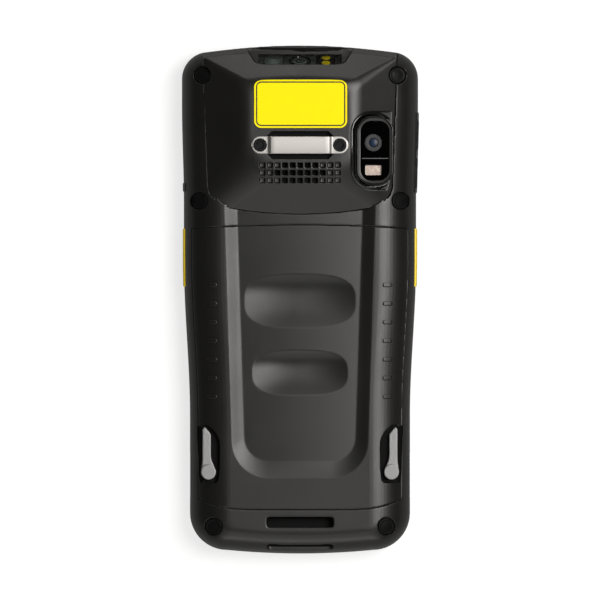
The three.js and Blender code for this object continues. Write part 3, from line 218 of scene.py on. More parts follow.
class HoodSizes(PropertyGroup):
    """The raised scan hood with its window notch"""

    tail_bow: length("Tail bow", "How far the hood's tail edge bows out", 1.8)
    tail_half: length("Tail half width", "Half width at the hood's tail edge", 28.2)
    head_half: length("Head half width", "Half width at the hood's end", 30.1)
    tail_corner: length("Tail corner", "Radius of the foot's tail corners", 7.5)
    head_corner: length("Head corner", "Radius of the foot's head corners", 0.8)
    end_set: length("End set", "How far the end wall stands back from the body's end", 0.2)
    brow_set: length("Brow set", "How far the brow stands back from the end wall", 1.7)
    brow_height: length("Brow height", "Height where the slopes begin", 19.4)
    end_height: length("End height", "Height where the end wall begins to lean", 14.0)
    ridge_half: length("Ridge half width", "Half width between the flat top's corners", 17.2)
    tail_slope: length("Tail slope", "Length of the slope towards the tail", 12.3)
    head_slope: length("Head slope", "Length of the slope towards the window", 8.8)
    ridge_bow: length("Ridge bow", "Bow of the flat top's head edge", 0.8)
    ridge_head_corner: length("Ridge head corner", "Radius of the flat top's head corners", 3.2)
    ridge_tail_corner: length("Ridge tail corner", "Radius of the flat top's tail corners", 11.0)
    ridge_softness: number("Ridge softness", "Share of a slope that the ridge's fillet takes", 0.18)
    seat: length("Seat", "Height of the hood's lower face", 17.6)
    skirt: length("Skirt", "From the body's end to the back of the hood's end wall", 8.45)
    notch_mouth: length("Notch mouth", "Half width of the window notch at the end", 17.4)
    notch_floor: length("Notch floor", "Half width of the window notch at its back", 12.9)
    notch_shoulder: length("Notch shoulder", "Half width where the notch begins to splay", 15.0)
    notch_depth: length("Notch depth", "From the body's end to the notch's back", 6.1)
    notch_lip: length("Notch lip", "Length of the notch's straight mouth", 2.0)
    notch_sill: length("Notch sill", "Height of the notch's lower edge", 11.4)
    recess_length: length("Strap recess length", "Half length of the recess under the strap bar", 4.2)
    recess_width: length("Strap recess width", "Half width of that recess", 10.3)
    recess_depth: length("Strap recess depth", "Depth of that recess", 2.1)
    recess_corner: length("Strap recess corner", "Cut corners of that recess", 1.6)
    grille_pitch: length("Grille pitch", "From one grille hole to the next", 2.33)
    grille_hole: length("Grille hole", "Width of a grille hole", 1.62)
    grille_behind: length("Grille place", "From the strap bar to the grille's first row", 6.2)
    camera_half_width: length("Camera recess width", "Half width of the camera's recess", 7.5)
    camera_half_length: length("Camera recess length", "Half length of the camera's recess", 12.1)
    camera_corner: length("Camera recess corner", "Radius of that recess", 6.6)
    camera_floor: length("Camera recess floor", "Height of that recess's floor", 19.9)
    engine_reach: length("Engine reach", "From the body's end to the scan engine's face", 4.85)
    engine_drop: length("Engine drop", "From the hood's top to the engine's middle", 11.5)
    engine_tilt: FloatProperty(
        name="Engine tilt", description="How far the scan engine looks up", default=math.radians(27),
        subtype="ANGLE",
    )


class ChannelSizes(PropertyGroup):
    """The channel down the back, its dimples and the grip ticks"""

    head: length("Head end", "Where the channel begins, under the hood", 29.5)
    tail: length("Tail end", "Where the channel's rim ends", -55.3)
    head_half: length("Head half width", "Half width of the rim at the head end", 23.3)
    tail_half: length("Tail half width", "Half width of the rim at the tail end", 20.7)
    corner: length("Corner", "Radius of the rim at the tail", 11.5)
    depth: length("Depth", "Depth of the floor beside its walls", 1.0)
    wall_run: length("Wall run", "Width of the side walls", 3.8)
    tail_run: length("Tail run", "Width of the wall at the tail", 5.3)
    crown: length("Crown", "How far the middle of the floor rises", 0.5)
    wall_softness: number("Wall softness", "How much of a wall's slope is an S curve", 0.12)
    dimple_depth: length("Dimple depth", "Depth of a finger dimple", 1.25)
    dimple_lean: number("Dimple lean", "How much deeper a dimple is at its head end", 0.55)
    tick_length: length("Tick length", "Length of a grip tick", 3.0)
    tick_width: length("Tick width", "Width of a grip tick", 1.35)
    tick_proud: length("Tick height", "How far a grip tick stands out", 0.5)
    tick_count: IntProperty(name="Ticks", description="Grip ticks on each side", default=7)


class Finishes(PropertyGroup):
    """Base colours, in linear values"""

    charcoal: colour("Charcoal", "The mouldings", (0.0064, 0.0061, 0.0058))
    # Black also colours the deep-black sheets that are painted shade in the strap slot, the latch pockets
    # and the strap recess.
    black: colour("Black", "Black plastic", (0.003, 0.003, 0.003))
    rubber: colour("Rubber", "Screw plugs and buttons", (0.003, 0.003, 0.003))
    yellow: colour("Yellow", "Triggers", (0.95, 0.68, 0.004))
    plate: colour("Plate yellow", "The plate on the hood", (1.0, 0.86, 0.0))
    plate_line: colour("Plate line", "The line round the plate", (0.028, 0.018, 0.035))
    steel: colour("Steel", "The strap bar", (0.42, 0.405, 0.39))
    zinc: colour("Zinc", "The latches", (0.235, 0.235, 0.235))
    glass: colour("Glass", "Dark glass", (0.0015, 0.0018, 0.002))
    key: colour("Keys", "The keypad", (0.075, 0.076, 0.08))


class StageSizes(PropertyGroup):
    """Camera, lamps and floor"""

    lens: number("Lens", "Focal length in millimetres", 800.0)
    sensor: number("Sensor", "Sensor width in millimetres", 36.0)
    world: number("World", "Strength of the even light from all round", 0.06)
    lamp_distance: length("Lamp distance", "From the object to the lamps", 1800.0)
    lamp_tint: colour("Lamp tint", "The lamps' colour", (1.0, 0.985, 0.96))
    pixel: length("Pixel", "What one pixel of the 600 pixel frame covers at the body", 0.31)
    frame_pixels: number("Frame", "Pixels across the frame", 600.0)
    centre_down: number("Centre", "Pixels from the body's middle down to the frame's middle", 0.5)


def sizes(name):
    return getattr(bpy.context.scene, f"terminal_{name}")


# Mesh tools

def new_object(name, points, faces):
    mesh = bpy.data.meshes.new(name)
    mesh.from_pydata([tuple(point) for point in points], [], faces)
    mesh.update()
    made = bpy.data.objects.new(name, mesh)
    bpy.context.scene.collection.objects.link(made)
    return made


def loft(name, rings):
    """A closed solid through rings that have the same number of points, with a cap at each end."""
    count = len(rings[0])
    faces = []
    for level in range(len(rings) - 1):
        low, high = level * count, (level + 1) * count
        for i in range(count):
            j = (i + 1) % count
            faces.append((low + i, low + j, high + j, high + i))
    faces.append(tuple(range(count - 1, -1, -1)))
    faces.append(tuple(range((len(rings) - 1) * count, len(rings) * count)))
    return new_object(name, np.concatenate(rings), faces)


def level(outline, z):
    """A plan outline lifted to a height."""
    outline = np.asarray(outline, float)
    return np.column_stack([outline, np.full(len(outline), z)])


def prism(name, outline, z0, z1):
    return loft(name, [level(outline, z0), level(outline, z1)])


def rectangle(x0, x1, y0, y1):
    return [(x0, y0), (x1, y0), (x1, y1), (x0, y1)]


def box(name, x0, x1, y0, y1, z0, z1):
    return prism(name, rectangle(x0, x1, y0, y1), z0, z1)


def side_box(name, side, inner, outer, y0, y1, z0, z1):
    x0, x1 = sorted((side * inner, side * outer))
    return box(name, x0, x1, y0, y1, z0, z1)


def circle(x, y, radius, steps=48):
    turn = np.linspace(0, 2 * np.pi, steps, endpoint=False)
    return np.column_stack([x + radius * np.cos(turn), y + radius * np.sin(turn)])


def rounded(x0, x1, y0, y1, radius, steps=10):
    """A rectangle with round corners, counter-clockwise."""
    corners = [(x1 - radius, y0 + radius, -90), (x1 - radius, y1 - radius, 0),
               (x0 + radius, y1 - radius, 90), (x0 + radius, y0 + radius, 180)]
    points = []
    for x, y, start in corners:
        turn = np.radians(np.linspace(start, start + 90, steps))
        points.append(np.column_stack([x + radius * np.cos(turn), y + radius * np.sin(turn)]))
    return np.concatenate(points)


def rod(name, x, y, radius, z0, z1, steps=48):
    return prism(name, circle(x, y, radius, steps), z0, z1)


def bake(made):
    """Applies an object's modifiers."""
    graph = bpy.context.evaluated_depsgraph_get()
    mesh = bpy.data.meshes.new_from_object(made.evaluated_get(graph))
    made.modifiers.clear()
    old = made.data
    made.data = mesh
    bpy.data.meshes.remove(old)
    return made


def combine(made, operation, *tools):
    """Joins, cuts or crosses a solid with others, which are used up."""
    for tool in tools:
        step = made.modifiers.new("cut", "BOOLEAN")
        step.operation = operation
        step.solver = "MANIFOLD"
        step.object = tool
        bake(made)
        bpy.data.objects.remove(tool)
    if not made.data.polygons:
        raise RuntimeError(f"nothing is left of {made.name} after a cut")
    return made


def cut(made, *tools):
    return combine(made, "DIFFERENCE", *tools)


def join(made, *tools):
    return combine(made, "UNION", *tools)


def cross(made, *tools):
    return combine(made, "INTERSECT", *tools)


def mould(made, voxel, passes=3, keep=1.0):
    """Gives a cut solid one even mesh with small soft edges, as a moulding has."""
    remesh = made.modifiers.new("mould", "REMESH")
    remesh.mode = "VOXEL"
    remesh.voxel_size = voxel
    remesh.use_smooth_shade = True
    soften = made.modifiers.new("soften", "SMOOTH")
    soften.factor = 0.5
    soften.iterations = passes
    if keep < 1:
        thin = made.modifiers.new("thin", "DECIMATE")
        thin.ratio = keep
    even = made.modifiers.new("even", "WEIGHTED_NORMAL")
    even.weight = 80
    bake(made)
    return smooth(made)


def smooth(made):
    made.data.polygons.foreach_set("use_smooth", [True] * len(made.data.polygons))
    made.data.update()
    return made


def bevel(made, width, segments=3, angle=30):
    step = made.modifiers.new("edges", "BEVEL")
    step.width = width
    step.segments = segments
    step.limit_method = "ANGLE"
    step.angle_limit = math.radians(angle)
    step.harden_normals = True
    return made


def polish(made, width, segments=3):
    """Smooth sides and small rounded edges for a turned, pressed or moulded piece."""
    return bevel(smooth(made), width, segments, 35)


def turned_rings(profile, x=0.0, y=0.0, z=0.0, steps=64):
    """Rings round an upright axis, from radii and heights in millimetres."""
    return [level(circle(x, y, radius * MM, steps), z + height * MM) for radius, height in profile]


def dress(made, material, body, slot, *nodes):
    """Gives a piece its finish, its body and the CAD nodes that it stands for."""
    made.data.materials.clear()
    made.data.materials.append(material)
    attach(made, body)
    if nodes:
        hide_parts(*nodes)
    return made


def finish_node(node, material, width=0.0):
    """Gives a CAD node that is shown a procedural finish and small rounded edges."""
    made = frame["nodes"][node]
    made.data.materials.clear()
    made.data.materials.append(material)
    if width:
        bevel(made, width)
    return made


# The body's shape

def smoothstep(value, start, end):
    share = np.clip((np.asarray(value, float) - start) / (end - start), 0, 1)
    return share * share * (3 - 2 * share)


def body_half(y):
    body = sizes("body")
    grip = (body.grip_width - body.tail_width) / 2 * smoothstep(y, body.taper_tail, body.taper_grip)
    shoulder = (HEAD_HALF - body.grip_width / 2) * smoothstep(y, body.shoulder_grip, body.shoulder_head)
    return body.tail_width / 2 + grip + shoulder


class Plan:
    """A plan outline: its half width along the body, two bowed ends and rounded corners."""

    def __init__(self, half_at, tail, head, tail_bow, head_bow, tail_corner, head_corner):
        self.half_at = half_at
        self.tail, self.head = tail, head
        self.tail_bow, self.head_bow = tail_bow, head_bow
        self.tail_corner, self.head_corner = tail_corner, head_corner

    def outline(self, ends=12, corner=14, side=64):
        side_tail = self.tail + self.tail_bow + self.tail_corner
        side_head = self.head - self.head_bow - self.head_corner
        tail_edge = float(self.half_at(side_tail)) - self.tail_corner
        head_edge = float(self.half_at(side_head)) - self.head_corner
        share = np.linspace(0, 1, ends, endpoint=False)
        turn = np.linspace(0, np.pi / 2, corner)
        along = np.linspace(side_tail, side_head, side)[1:-1]
        back = share[::-1]
        half = np.concatenate([
            np.column_stack([tail_edge * share, self.tail + self.tail_bow * share**2]),
            np.column_stack([
                tail_edge + self.tail_corner * np.sin(turn), side_tail - self.tail_corner * np.cos(turn),
            ]),
            np.column_stack([self.half_at(along) + 0 * along, along]),
            np.column_stack([
                head_edge + self.head_corner * np.cos(turn), side_head + self.head_corner * np.sin(turn),
            ]),
            np.column_stack([head_edge * back, self.head - self.head_bow * back**2]),
        ])
        return np.concatenate([half, half[-2:0:-1] * (-1, 1)])

    def ring(self, z):
        return level(self.outline(), z)


def body_plan(side=0.0, head=None, tail=None):
    """The body's outline drawn in by an amount at the sides, the head and the tail."""
    body = sizes("body")
    head = side if head is None else head
    tail = side if tail is None else tail
    return Plan(
        lambda y: body_half(y) - side, TAIL_END + tail, HEAD_END - head, body.tail_bow, body.head_bow,
        max(body.tail_corner - (side + tail) / 2, body.tail_corner / 4),
        max(body.head_corner - (side + head) / 2, body.head_corner / 4),
    )


def back_rings(grow=0.0, lower=0.0, steps=18):
    """Rings of the back from the parting line up, grown outwards and lowered."""
    body = sizes("body")
    groove = body.groove - grow
    rings = [
        body_plan(groove).ring(PARTING - lower),
        body_plan(-grow).ring(PARTING + body.groove - lower),
        body_plan(-grow).ring(body.flank_start - lower),
    ]
    rise = BODY_TOP - body.flank_start
    for turn in np.linspace(0, np.pi / 2, steps + 1)[1:]:
        drawn = 1 - math.cos(turn)
        plan = body_plan(
            body.flank_width * drawn - grow, body.head_round * drawn - grow, body.tail_round * drawn - grow,
        )
        rings.append(plan.ring(body.flank_start + rise * math.sin(turn) - lower))
    return rings


def back(name, grow=0.0, lower=0.0):
    return loft(name, back_rings(grow, lower))


# The hood's shape

def hood_foot_half(y):
    hood = sizes("hood")
    return hood.tail_half + (hood.head_half - hood.tail_half) * (y - HOOD_TAIL) / (HEAD_END - HOOD_TAIL)


def hood_plan(share, grow=0.0):
    """The hood's outline at a share of the way from its brow to the corner of its flat top."""
    hood = sizes("hood")
    brow_head = HEAD_END - hood.end_set - hood.brow_set
    return Plan(
        lambda y: (1 - share) * hood_foot_half(y) + share * hood.ridge_half + grow,
        HOOD_TAIL - grow + share * hood.tail_slope,
        brow_head + grow - share * hood.head_slope,
        hood.tail_bow * max(1 - share, 0),
        sizes("body").head_bow * (1 - share) + hood.ridge_bow * share,
        hood.tail_corner + (hood.ridge_tail_corner - hood.tail_corner) * share,
        hood.head_corner + (hood.ridge_head_corner - hood.head_corner) * share,
    )


def hood_lift(share):
    """The height above the brow, as a share, with the ridge rounded by a fillet."""
    soft = sizes("hood").ridge_softness
    if share <= 1 - soft:
        return share
    return 1 - (1 + soft - share) ** 2 / (4 * soft)


def hood_solid(name, grow=0.0, lower=0.0):
    hood = sizes("hood")
    soft = hood.ridge_softness
    foot = hood_plan(0, grow)
    foot.head += hood.brow_set
    rings = [foot.ring(PARTING - lower), foot.ring(hood.end_height - lower)]
    shares = np.concatenate([
        np.linspace(0, 0.05, 3), np.linspace(0.12, 1 - soft, 12), np.linspace(1 - soft, 1 + soft, 12)[1:],
    ])
    for share in shares:
        z = hood.brow_height + hood_lift(share) * (HOOD_TOP - hood.brow_height)
        rings.append(hood_plan(share, grow).ring(z - lower))
    return loft(name, rings)


def hood_room(name, seat, skirt_y, skirt_floor):
    """The room that the hood takes from the housing: over its seat, and its end wall."""
    far = HEAD_END * 2
    return join(
        box(name, -far, far, 0, far, seat, far),
        box(f"{name}_skirt", -far, far, skirt_y, far, skirt_floor, far),
    )


def notch_outline(gap=0.0):
    hood = sizes("hood")
    floor = HEAD_END - hood.notch_depth + gap
    lip = HEAD_END - hood.notch_lip / 2
    side = [
        (hood.notch_floor - 1.5 * MM - gap, floor),
        (hood.notch_floor - gap, floor + 0.25 * MM),
        (hood.notch_floor + 1.2 * MM - gap, floor + 0.8 * MM),
        (hood.notch_shoulder - 0.2 * MM - gap, floor + 2.0 * MM),
        (hood.notch_shoulder + 1.0 * MM - gap, floor + 3.9 * MM),
        (hood.notch_mouth - 0.6 * MM - gap, lip),
        (hood.notch_mouth - gap, HEAD_END),
        (hood.notch_mouth - gap, HEAD_END + TOOL_REACH),
    ]
    return side + [(-x, y) for x, y in reversed(side)]


# Cover, channel and latches

def cover_outline(gap=0.0):
    """The battery cover's plan, with an arched head seam and swept tail corners."""
    body = sizes("body")
    far = HEAD_HALF + TOOL_REACH
    tail_seam = TAIL_END + body.cover_reach
    reference = HEAD_HALF - 3 * MM
    across = np.linspace(-far, far, 61)
    head = COVER_HEAD - gap - body.cover_arch * (across / reference) ** 2
    tail = tail_seam + gap + body.cover_sweep * np.abs(across / (reference - 2 * MM)) ** 6
    return np.concatenate([
        np.column_stack([across, np.minimum(tail, head - 20 * MM)]),
        np.column_stack([across[::-1], head[::-1]]),
    ])


def cover_prism(name, gap, floor):
    return prism(name, cover_outline(gap), floor, BODY_TOP + TOOL_REACH)


def channel_plan(drawn):
    """The channel's outline drawn in from its rim, by a share of its walls."""
    channel = sizes("channel")
    run = channel.wall_run * drawn

    def half_at(y):
        share = (channel.head - y) / (channel.head - channel.tail)
        return channel.head_half + (channel.tail_half - channel.head_half) * share - run

    return Plan(
        half_at, channel.tail + channel.tail_run * drawn, channel.head, 0, 0, channel.corner - run, 0.8 * MM,
    )


def channel_floor(points):
    """Gives points on the channel's floor their height, crowned across."""
    channel = sizes("channel")
    half = channel.head_half - channel.wall_run
    crown = channel.crown * np.clip(1 - (points[:, 0] / half) ** 2, 0, 1)
    return np.column_stack([points, BODY_TOP - channel.depth + crown])


def channel_cutter(name):
    """The tool for the channel: a crowned floor and walls with a soft rim and foot."""
    channel = sizes("channel")
    inner = channel_plan(1).outline()
    middle_y = (channel.head + channel.tail) / 2
    rings = []
    for share in (0.02, 0.1, 0.2, 0.3, 0.4, 0.5, 0.6, 0.7, 0.8, 0.9, 1.0):
        squeezed = np.column_stack([inner[:, 0] * share, inner[:, 1]])
        squeezed[:, 1] = middle_y + (inner[:, 1] - middle_y) * (0.6 + 0.4 * share)
        rings.append(channel_floor(squeezed))
    for share in np.linspace(1, 0, 15)[1:]:
        outline = channel_plan(share).outline()
        foot = channel_floor(outline)[:, 2]
        lift = 1 - share
        soft = lift + channel.wall_softness * (lift * lift * (3 - 2 * lift) - lift)
        rings.append(np.column_stack([outline, foot + (BODY_TOP - foot) * soft]))
    rim = channel_plan(0).outline()
    rings.append(level(rim, BODY_TOP + RIM_REACH))
    return loft(name, rings)


def dimple(name, y, half_width, half_length):
    """The tool for a finger dimple: a stadium bowl, deeper at its head end."""
    channel = sizes("channel")
    turn = np.linspace(0, 2 * np.pi, 120, endpoint=False)
    power = 2 / 2.9
    edge = np.column_stack([
        half_width * np.sign(np.cos(turn)) * np.abs(np.cos(turn)) ** power,
        half_length * np.sign(np.sin(turn)) * np.abs(np.sin(turn)) ** power,
    ])
    rings = []
    for share in np.linspace(0.02, 1.0, 16):
        points = edge * share
        lean = 1 + channel.dimple_lean * points[:, 1] / half_length
        depth = channel.dimple_depth * (1 - share ** 2.4) * lean
        placed = points + (0, y)
        floor = channel_floor(placed)
        floor[:, 2] -= depth
        rings.append(floor)
    rings.append(level(edge * 1.001 + (0, y), BODY_TOP + RIM_REACH))
    return loft(name, rings)


def latch_pocket(name, side):
    """The tool for a latch's D-shaped pocket, which runs out through the flank."""
    x, y = LATCH_PIVOTS[side]
    sign = SIDES[side]
    far = HEAD_HALF
    shape = [
        (far, -3.5), (far, 16.0), (5.4, 15.8), (2.4, 15.2), (-0.1, 14.2), (-2.2, 12.2), (-3.3, 9.8),
        (-3.5, 7.6), (-3.4, 1.0), (-2.9, -2.6), (-2.2, -3.3),
    ]
    points = []
    for across, along in shape:
        outward = far if across == far else abs(x) + across * MM
        points.append((sign * outward, y + along * MM))
    if sign < 0:
        points.reverse()
    return prism(name, points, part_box("latch_left")[0].z + WELL_LIFT, BODY_TOP + TOOL_REACH)


def latch_groove(name, side, floor):
    """The slim part of a latch's pocket beyond its lever, with a straight outer wall."""
    sign = SIDES[side]
    shape = [(29.6, -39.6), (29.6, -56.8), (31.1, -56.8), (31.85, -39.0)]
    points = [(sign * across * MM, along * MM) for across, along in shape]
    if sign < 0:
        points.reverse()
    return prism(name, points, floor, BODY_TOP + TOOL_REACH)


# Shader maths

FINISHES = {}


class Value:
    """A shader socket. Its operators add Math nodes, so shaders read as sums."""

    def __init__(self, paint, socket):
        self.paint, self.socket = paint, socket

    def math(self, operation, *others):
        return self.paint.node("ShaderNodeMath", {"operation": operation}, self, *others)

    def __add__(self, other):
        return self.math("ADD", other)

    def __radd__(self, other):
        return self.math("ADD", other)

    def __sub__(self, other):
        return self.math("SUBTRACT", other)

    def __rsub__(self, other):
        return self.paint.node("ShaderNodeMath", {"operation": "SUBTRACT"}, other, self)

    def __mul__(self, other):
        return self.math("MULTIPLY", other)

    def __rmul__(self, other):
        return self.math("MULTIPLY", other)

    def __abs__(self):
        return self.math("ABSOLUTE")

    def least(self, other):
        return self.math("MINIMUM", other)

    def most(self, other):
        return self.math("MAXIMUM", other)

    def step(self, start, end):
        """0 at the start, 1 at the end, with a soft ramp between them."""
        return self.paint.node(
            "ShaderNodeMapRange", {"interpolation_type": "SMOOTHSTEP"}, self, start, end, 0.0, 1.0,
        )

    def axis(self, name):
        return self.paint.node("ShaderNodeSeparateXYZ", {}, self, output=name)


class Paint:
    """A material whose nodes are written as Python."""

    def __init__(self, name):
        self.material = bpy.data.materials.new(name)
        self.material.use_nodes = True
        self.tree = self.material.node_tree
        self.tree.nodes.clear()

    def feed(self, socket, value):
        if isinstance(value, Value):
            self.tree.links.new(value.socket, socket)
        elif socket.type == "RGBA":
            socket.default_value = (*value[:3], 1)
        else:
            socket.default_value = value

    def node(self, kind, settings, *values, output=0, **named):
        made = self.tree.nodes.new(kind)
        for key, setting in settings.items():
            setattr(made, key, setting)
        for place, value in enumerate(values):
            if value is not None:
                self.feed(made.inputs[place], value)
        for key, value in named.items():
            self.feed(made.inputs[key.replace("_", " ")], value)
        return Value(self, made.outputs[output])

    def where(self, centre=(0, 0, 0)):
        """The place on the piece, in millimetres from a centre given in metres."""
        place = self.node("ShaderNodeTexCoord", {}, output="Object")
        offset = self.node("ShaderNodeVectorMath", {"operation": "SUBTRACT"}, place, tuple(centre))
        return self.scaled(offset, 1 / MM)

    def scaled(self, vector, factor):
        return self.node("ShaderNodeVectorMath", {"operation": "SCALE"}, vector, Scale=factor)

    def stretched(self, vector, stretch):
        return self.node("ShaderNodeVectorMath", {"operation": "MULTIPLY"}, vector, stretch)

    def distance(self, vector):
        return self.node("ShaderNodeVectorMath", {"operation": "LENGTH"}, vector, output="Value")

    def noise(self, where, size, detail=2.0, rough=0.5):
        return self.node("ShaderNodeTexNoise", {}, where, Scale=1 / size, Detail=detail, Roughness=rough)

    def cells(self, where, size, feature="F1"):
        return self.node(
            "ShaderNodeTexVoronoi", {"feature": feature}, where, Scale=1 / size, output="Distance",
        )

    def blend(self, factor, first, second):
        """A mix of two colours."""
        made = self.tree.nodes.new("ShaderNodeMix")
        made.data_type = "RGBA"
        self.feed(made.inputs[0], factor)
        self.feed(made.inputs[6], first)
        self.feed(made.inputs[7], second)
        return Value(self, made.outputs[2])

    def bump(self, height, depth):
        """A bump whose height runs over a depth given in millimetres."""
        return self.node("ShaderNodeBump", {}, Height=height, Distance=depth * MM, Strength=1.0)

    def shade(self, **sockets):
        return self.finish(self.node("ShaderNodeBsdfPrincipled", {}, **sockets))

    def finish(self, surface):
        end = self.tree.nodes.new("ShaderNodeOutputMaterial")
        self.tree.links.new(surface.socket, end.inputs["Surface"])
        return self.material


def moulded(name, base, roughness=0.5, grain=0.4, depth=0.03, mottle=0.1, specular=0.5, coat=0.0):
    """Moulded plastic: eroded grain, slow changes of tone, and a little dust and rub."""
    paint = Paint(name)
    where = paint.where()
    fine = paint.noise(where, grain, 3.0, 0.6)
    broad = paint.noise(where, 17, 3.0)
    rub = paint.noise(paint.stretched(where, (1, 0.35, 1)), 3.2, 6.0, 0.7).step(0.52, 0.78)
    tone = 1 - mottle + 2 * mottle * broad + 0.12 * (fine - 0.5) + 0.14 * rub
    tint = paint.scaled(tuple(base), tone)
    return paint.shade(
        Base_Color=tint, Specular_IOR_Level=specular, Coat_Weight=coat,
        Roughness=roughness + 0.10 * (fine - 0.5) + 0.10 * (broad - 0.5) - 0.05 * rub,
        Normal=paint.bump(fine, depth),
    )


def rubbery(name, base, roughness=0.45):
    """Soft rubber: a dusty bloom over a fine grain."""
    paint = Paint(name)
    where = paint.where()
    fine = paint.noise(where, 0.25, 2.0)
    bloom = paint.noise(where, 5, 5.0, 0.65)
    return paint.shade(
        Base_Color=paint.scaled(tuple(base), 0.75 + 0.6 * bloom), Specular_IOR_Level=0.14,
        Roughness=roughness + 0.12 * (bloom - 0.5), Normal=paint.bump(fine, 0.012),
    )


def metal(name, base, roughness, stretch=(1, 1, 1), grain=0.12, depth=0.012, metallic=1.0):
    """Metal: blasted when its grain is even, brushed when it is stretched."""
    paint = Paint(name)
    where = paint.where()
    grains = paint.noise(paint.stretched(where, stretch), grain, 3.0, 0.6)
    stain = paint.noise(where, 6, 4.0)
    return paint.shade(
        Base_Color=paint.scaled(tuple(base), 0.9 + 0.12 * grains + 0.10 * stain), Metallic=metallic,
        Roughness=roughness + 0.14 * (grains - 0.5) + 0.08 * (stain - 0.5),
        Normal=paint.bump(grains, depth),
    )


def dark_glass(name, base, roughness=0.05, clear=None, border=None, specular=0.4):
    """Dark glass with faint smears; clear glass lets more through where it is seen square on.

    A border makes it solid beyond a half width and beyond a place along the body, in metres.
    """
    paint = Paint(name)
    where = paint.where()
    smear = paint.noise(paint.stretched(where, (1, 0.3, 1)), 9, 5.0, 0.6)
    dust = paint.noise(where, 0.5, 2.0).step(0.72, 0.8)
    extra = {}
    if clear is not None:
        edge = paint.node("ShaderNodeLayerWeight", {}, 0.35, output="Facing")
        alpha = 1 - clear * (1 - edge * edge * edge)
        across = abs(where.axis("X")).step(border[0] / MM - 0.1, border[0] / MM + 0.1)
        along = where.axis("Y").step(border[1] / MM - 0.1, border[1] / MM + 0.1)
        extra["Alpha"] = alpha.most(across).most(along)
    return paint.shade(
        Base_Color=paint.blend(0.04 * dust, tuple(base), (0.3, 0.3, 0.3)), Specular_IOR_Level=specular,
        Roughness=roughness + 0.06 * smear + 0.2 * dust, **extra,
    )


def ringed(name, centre, turned, stops, roughness=0.08, coat=0.5, specular=0.4):
    """Lens glass: rings of colour by their distance in millimetres from the lens's axis."""
    paint = Paint(name)
    where = paint.where(centre)
    flat = paint.stretched(where, (1, 1, 0)) if not turned else where
    distance = paint.distance(flat) + 0.05 * paint.noise(where, 0.5)
    tint = stops[0][1]
    for radius, after in stops[1:]:
        tint = paint.blend(distance.step(radius - RING_BLUR, radius + RING_BLUR), tint, after)
    return paint.shade(
        Base_Color=tint, Roughness=roughness + 0.05 * paint.noise(where, 1.5), Coat_Weight=coat,
        Specular_IOR_Level=specular,
    )


def plate_finish(name, base, line, half, corner, inset):
    """The hood's bare plate: a printed line runs round it inside its edge."""
    paint = Paint(name)
    where = paint.where(plate_centre())
    across = abs(where.axis("X")) - (half[0] - corner) / MM
    along = abs(where.axis("Y")) - (half[1] - corner) / MM
    outside = paint.node(
        "ShaderNodeCombineXYZ", {}, across.most(0.0), along.most(0.0), 0.0,
    )
    edge = paint.distance(outside) + across.most(along).least(0.0) - corner / MM
    ring = 1 - (abs(edge + inset / MM) - 0.2).step(-0.05, 0.05)
    rim = edge.step(-0.24, -0.14)
    ink = ring.most(rim)
    fine = paint.noise(where, 0.3, 2.0)
    wear = paint.noise(where, 4, 6.0, 0.65)
    yellow = paint.scaled(tuple(base), 0.94 + 0.09 * wear)
    return paint.shade(
        Base_Color=paint.blend(ink, yellow, tuple(line)), Specular_IOR_Level=0.1,
        Roughness=0.5 + 0.1 * (wear - 0.5), Normal=paint.bump(fine, 0.006),
    )


def circuit_board(name):
    """Solder mask with tracks and pads."""
    paint = Paint(name)
    where = paint.where()
    tracks = paint.cells(where, 1.6, "DISTANCE_TO_EDGE")
    track = 1 - tracks.step(0.03, 0.06)
    pads = 1 - paint.cells(where, 2.6).step(0.16, 0.2)
    mask = paint.blend(track, (0.012, 0.07, 0.03), (0.03, 0.14, 0.06))
    return paint.shade(
        Base_Color=paint.blend(pads, mask, (0.75, 0.6, 0.28)), Metallic=pads,
        Roughness=0.35 + 0.1 * paint.noise(where, 3), Normal=paint.bump(track, 0.03),
    )


def mottled(name, base, dark):
    """The flash's diffuser: small cells in a pale cover."""
    paint = Paint(name)
    where = paint.where()
    cell = paint.cells(where, 0.45).step(0.1, 0.6)
    cloud = paint.noise(where, 0.9, 4.0, 0.7)
    return paint.shade(
        Base_Color=paint.blend(cloud.step(0.35, 0.7), tuple(dark), tuple(base)),
        Roughness=0.25 + 0.2 * cloud, Normal=paint.bump(cell, 0.05), Coat_Weight=0.5,
    )


def wrapped(name):
    """The battery's shrink wrap, creased along its edges."""
    paint = Paint(name)
    where = paint.where()
    crease = paint.noise(paint.stretched(where, (0.2, 1, 1)), 2.2, 4.0, 0.6)
    return paint.shade(
        Base_Color=paint.scaled((0.02, 0.021, 0.024), 0.8 + 0.5 * crease), Coat_Weight=0.4,
        Roughness=0.32 + 0.15 * crease, Normal=paint.bump(crease, 0.12),
    )


def finish(name):
    """A finish by its name, made once."""
    if name not in FINISHES:
        FINISHES[name] = make_finish(name)
    return FINISHES[name]


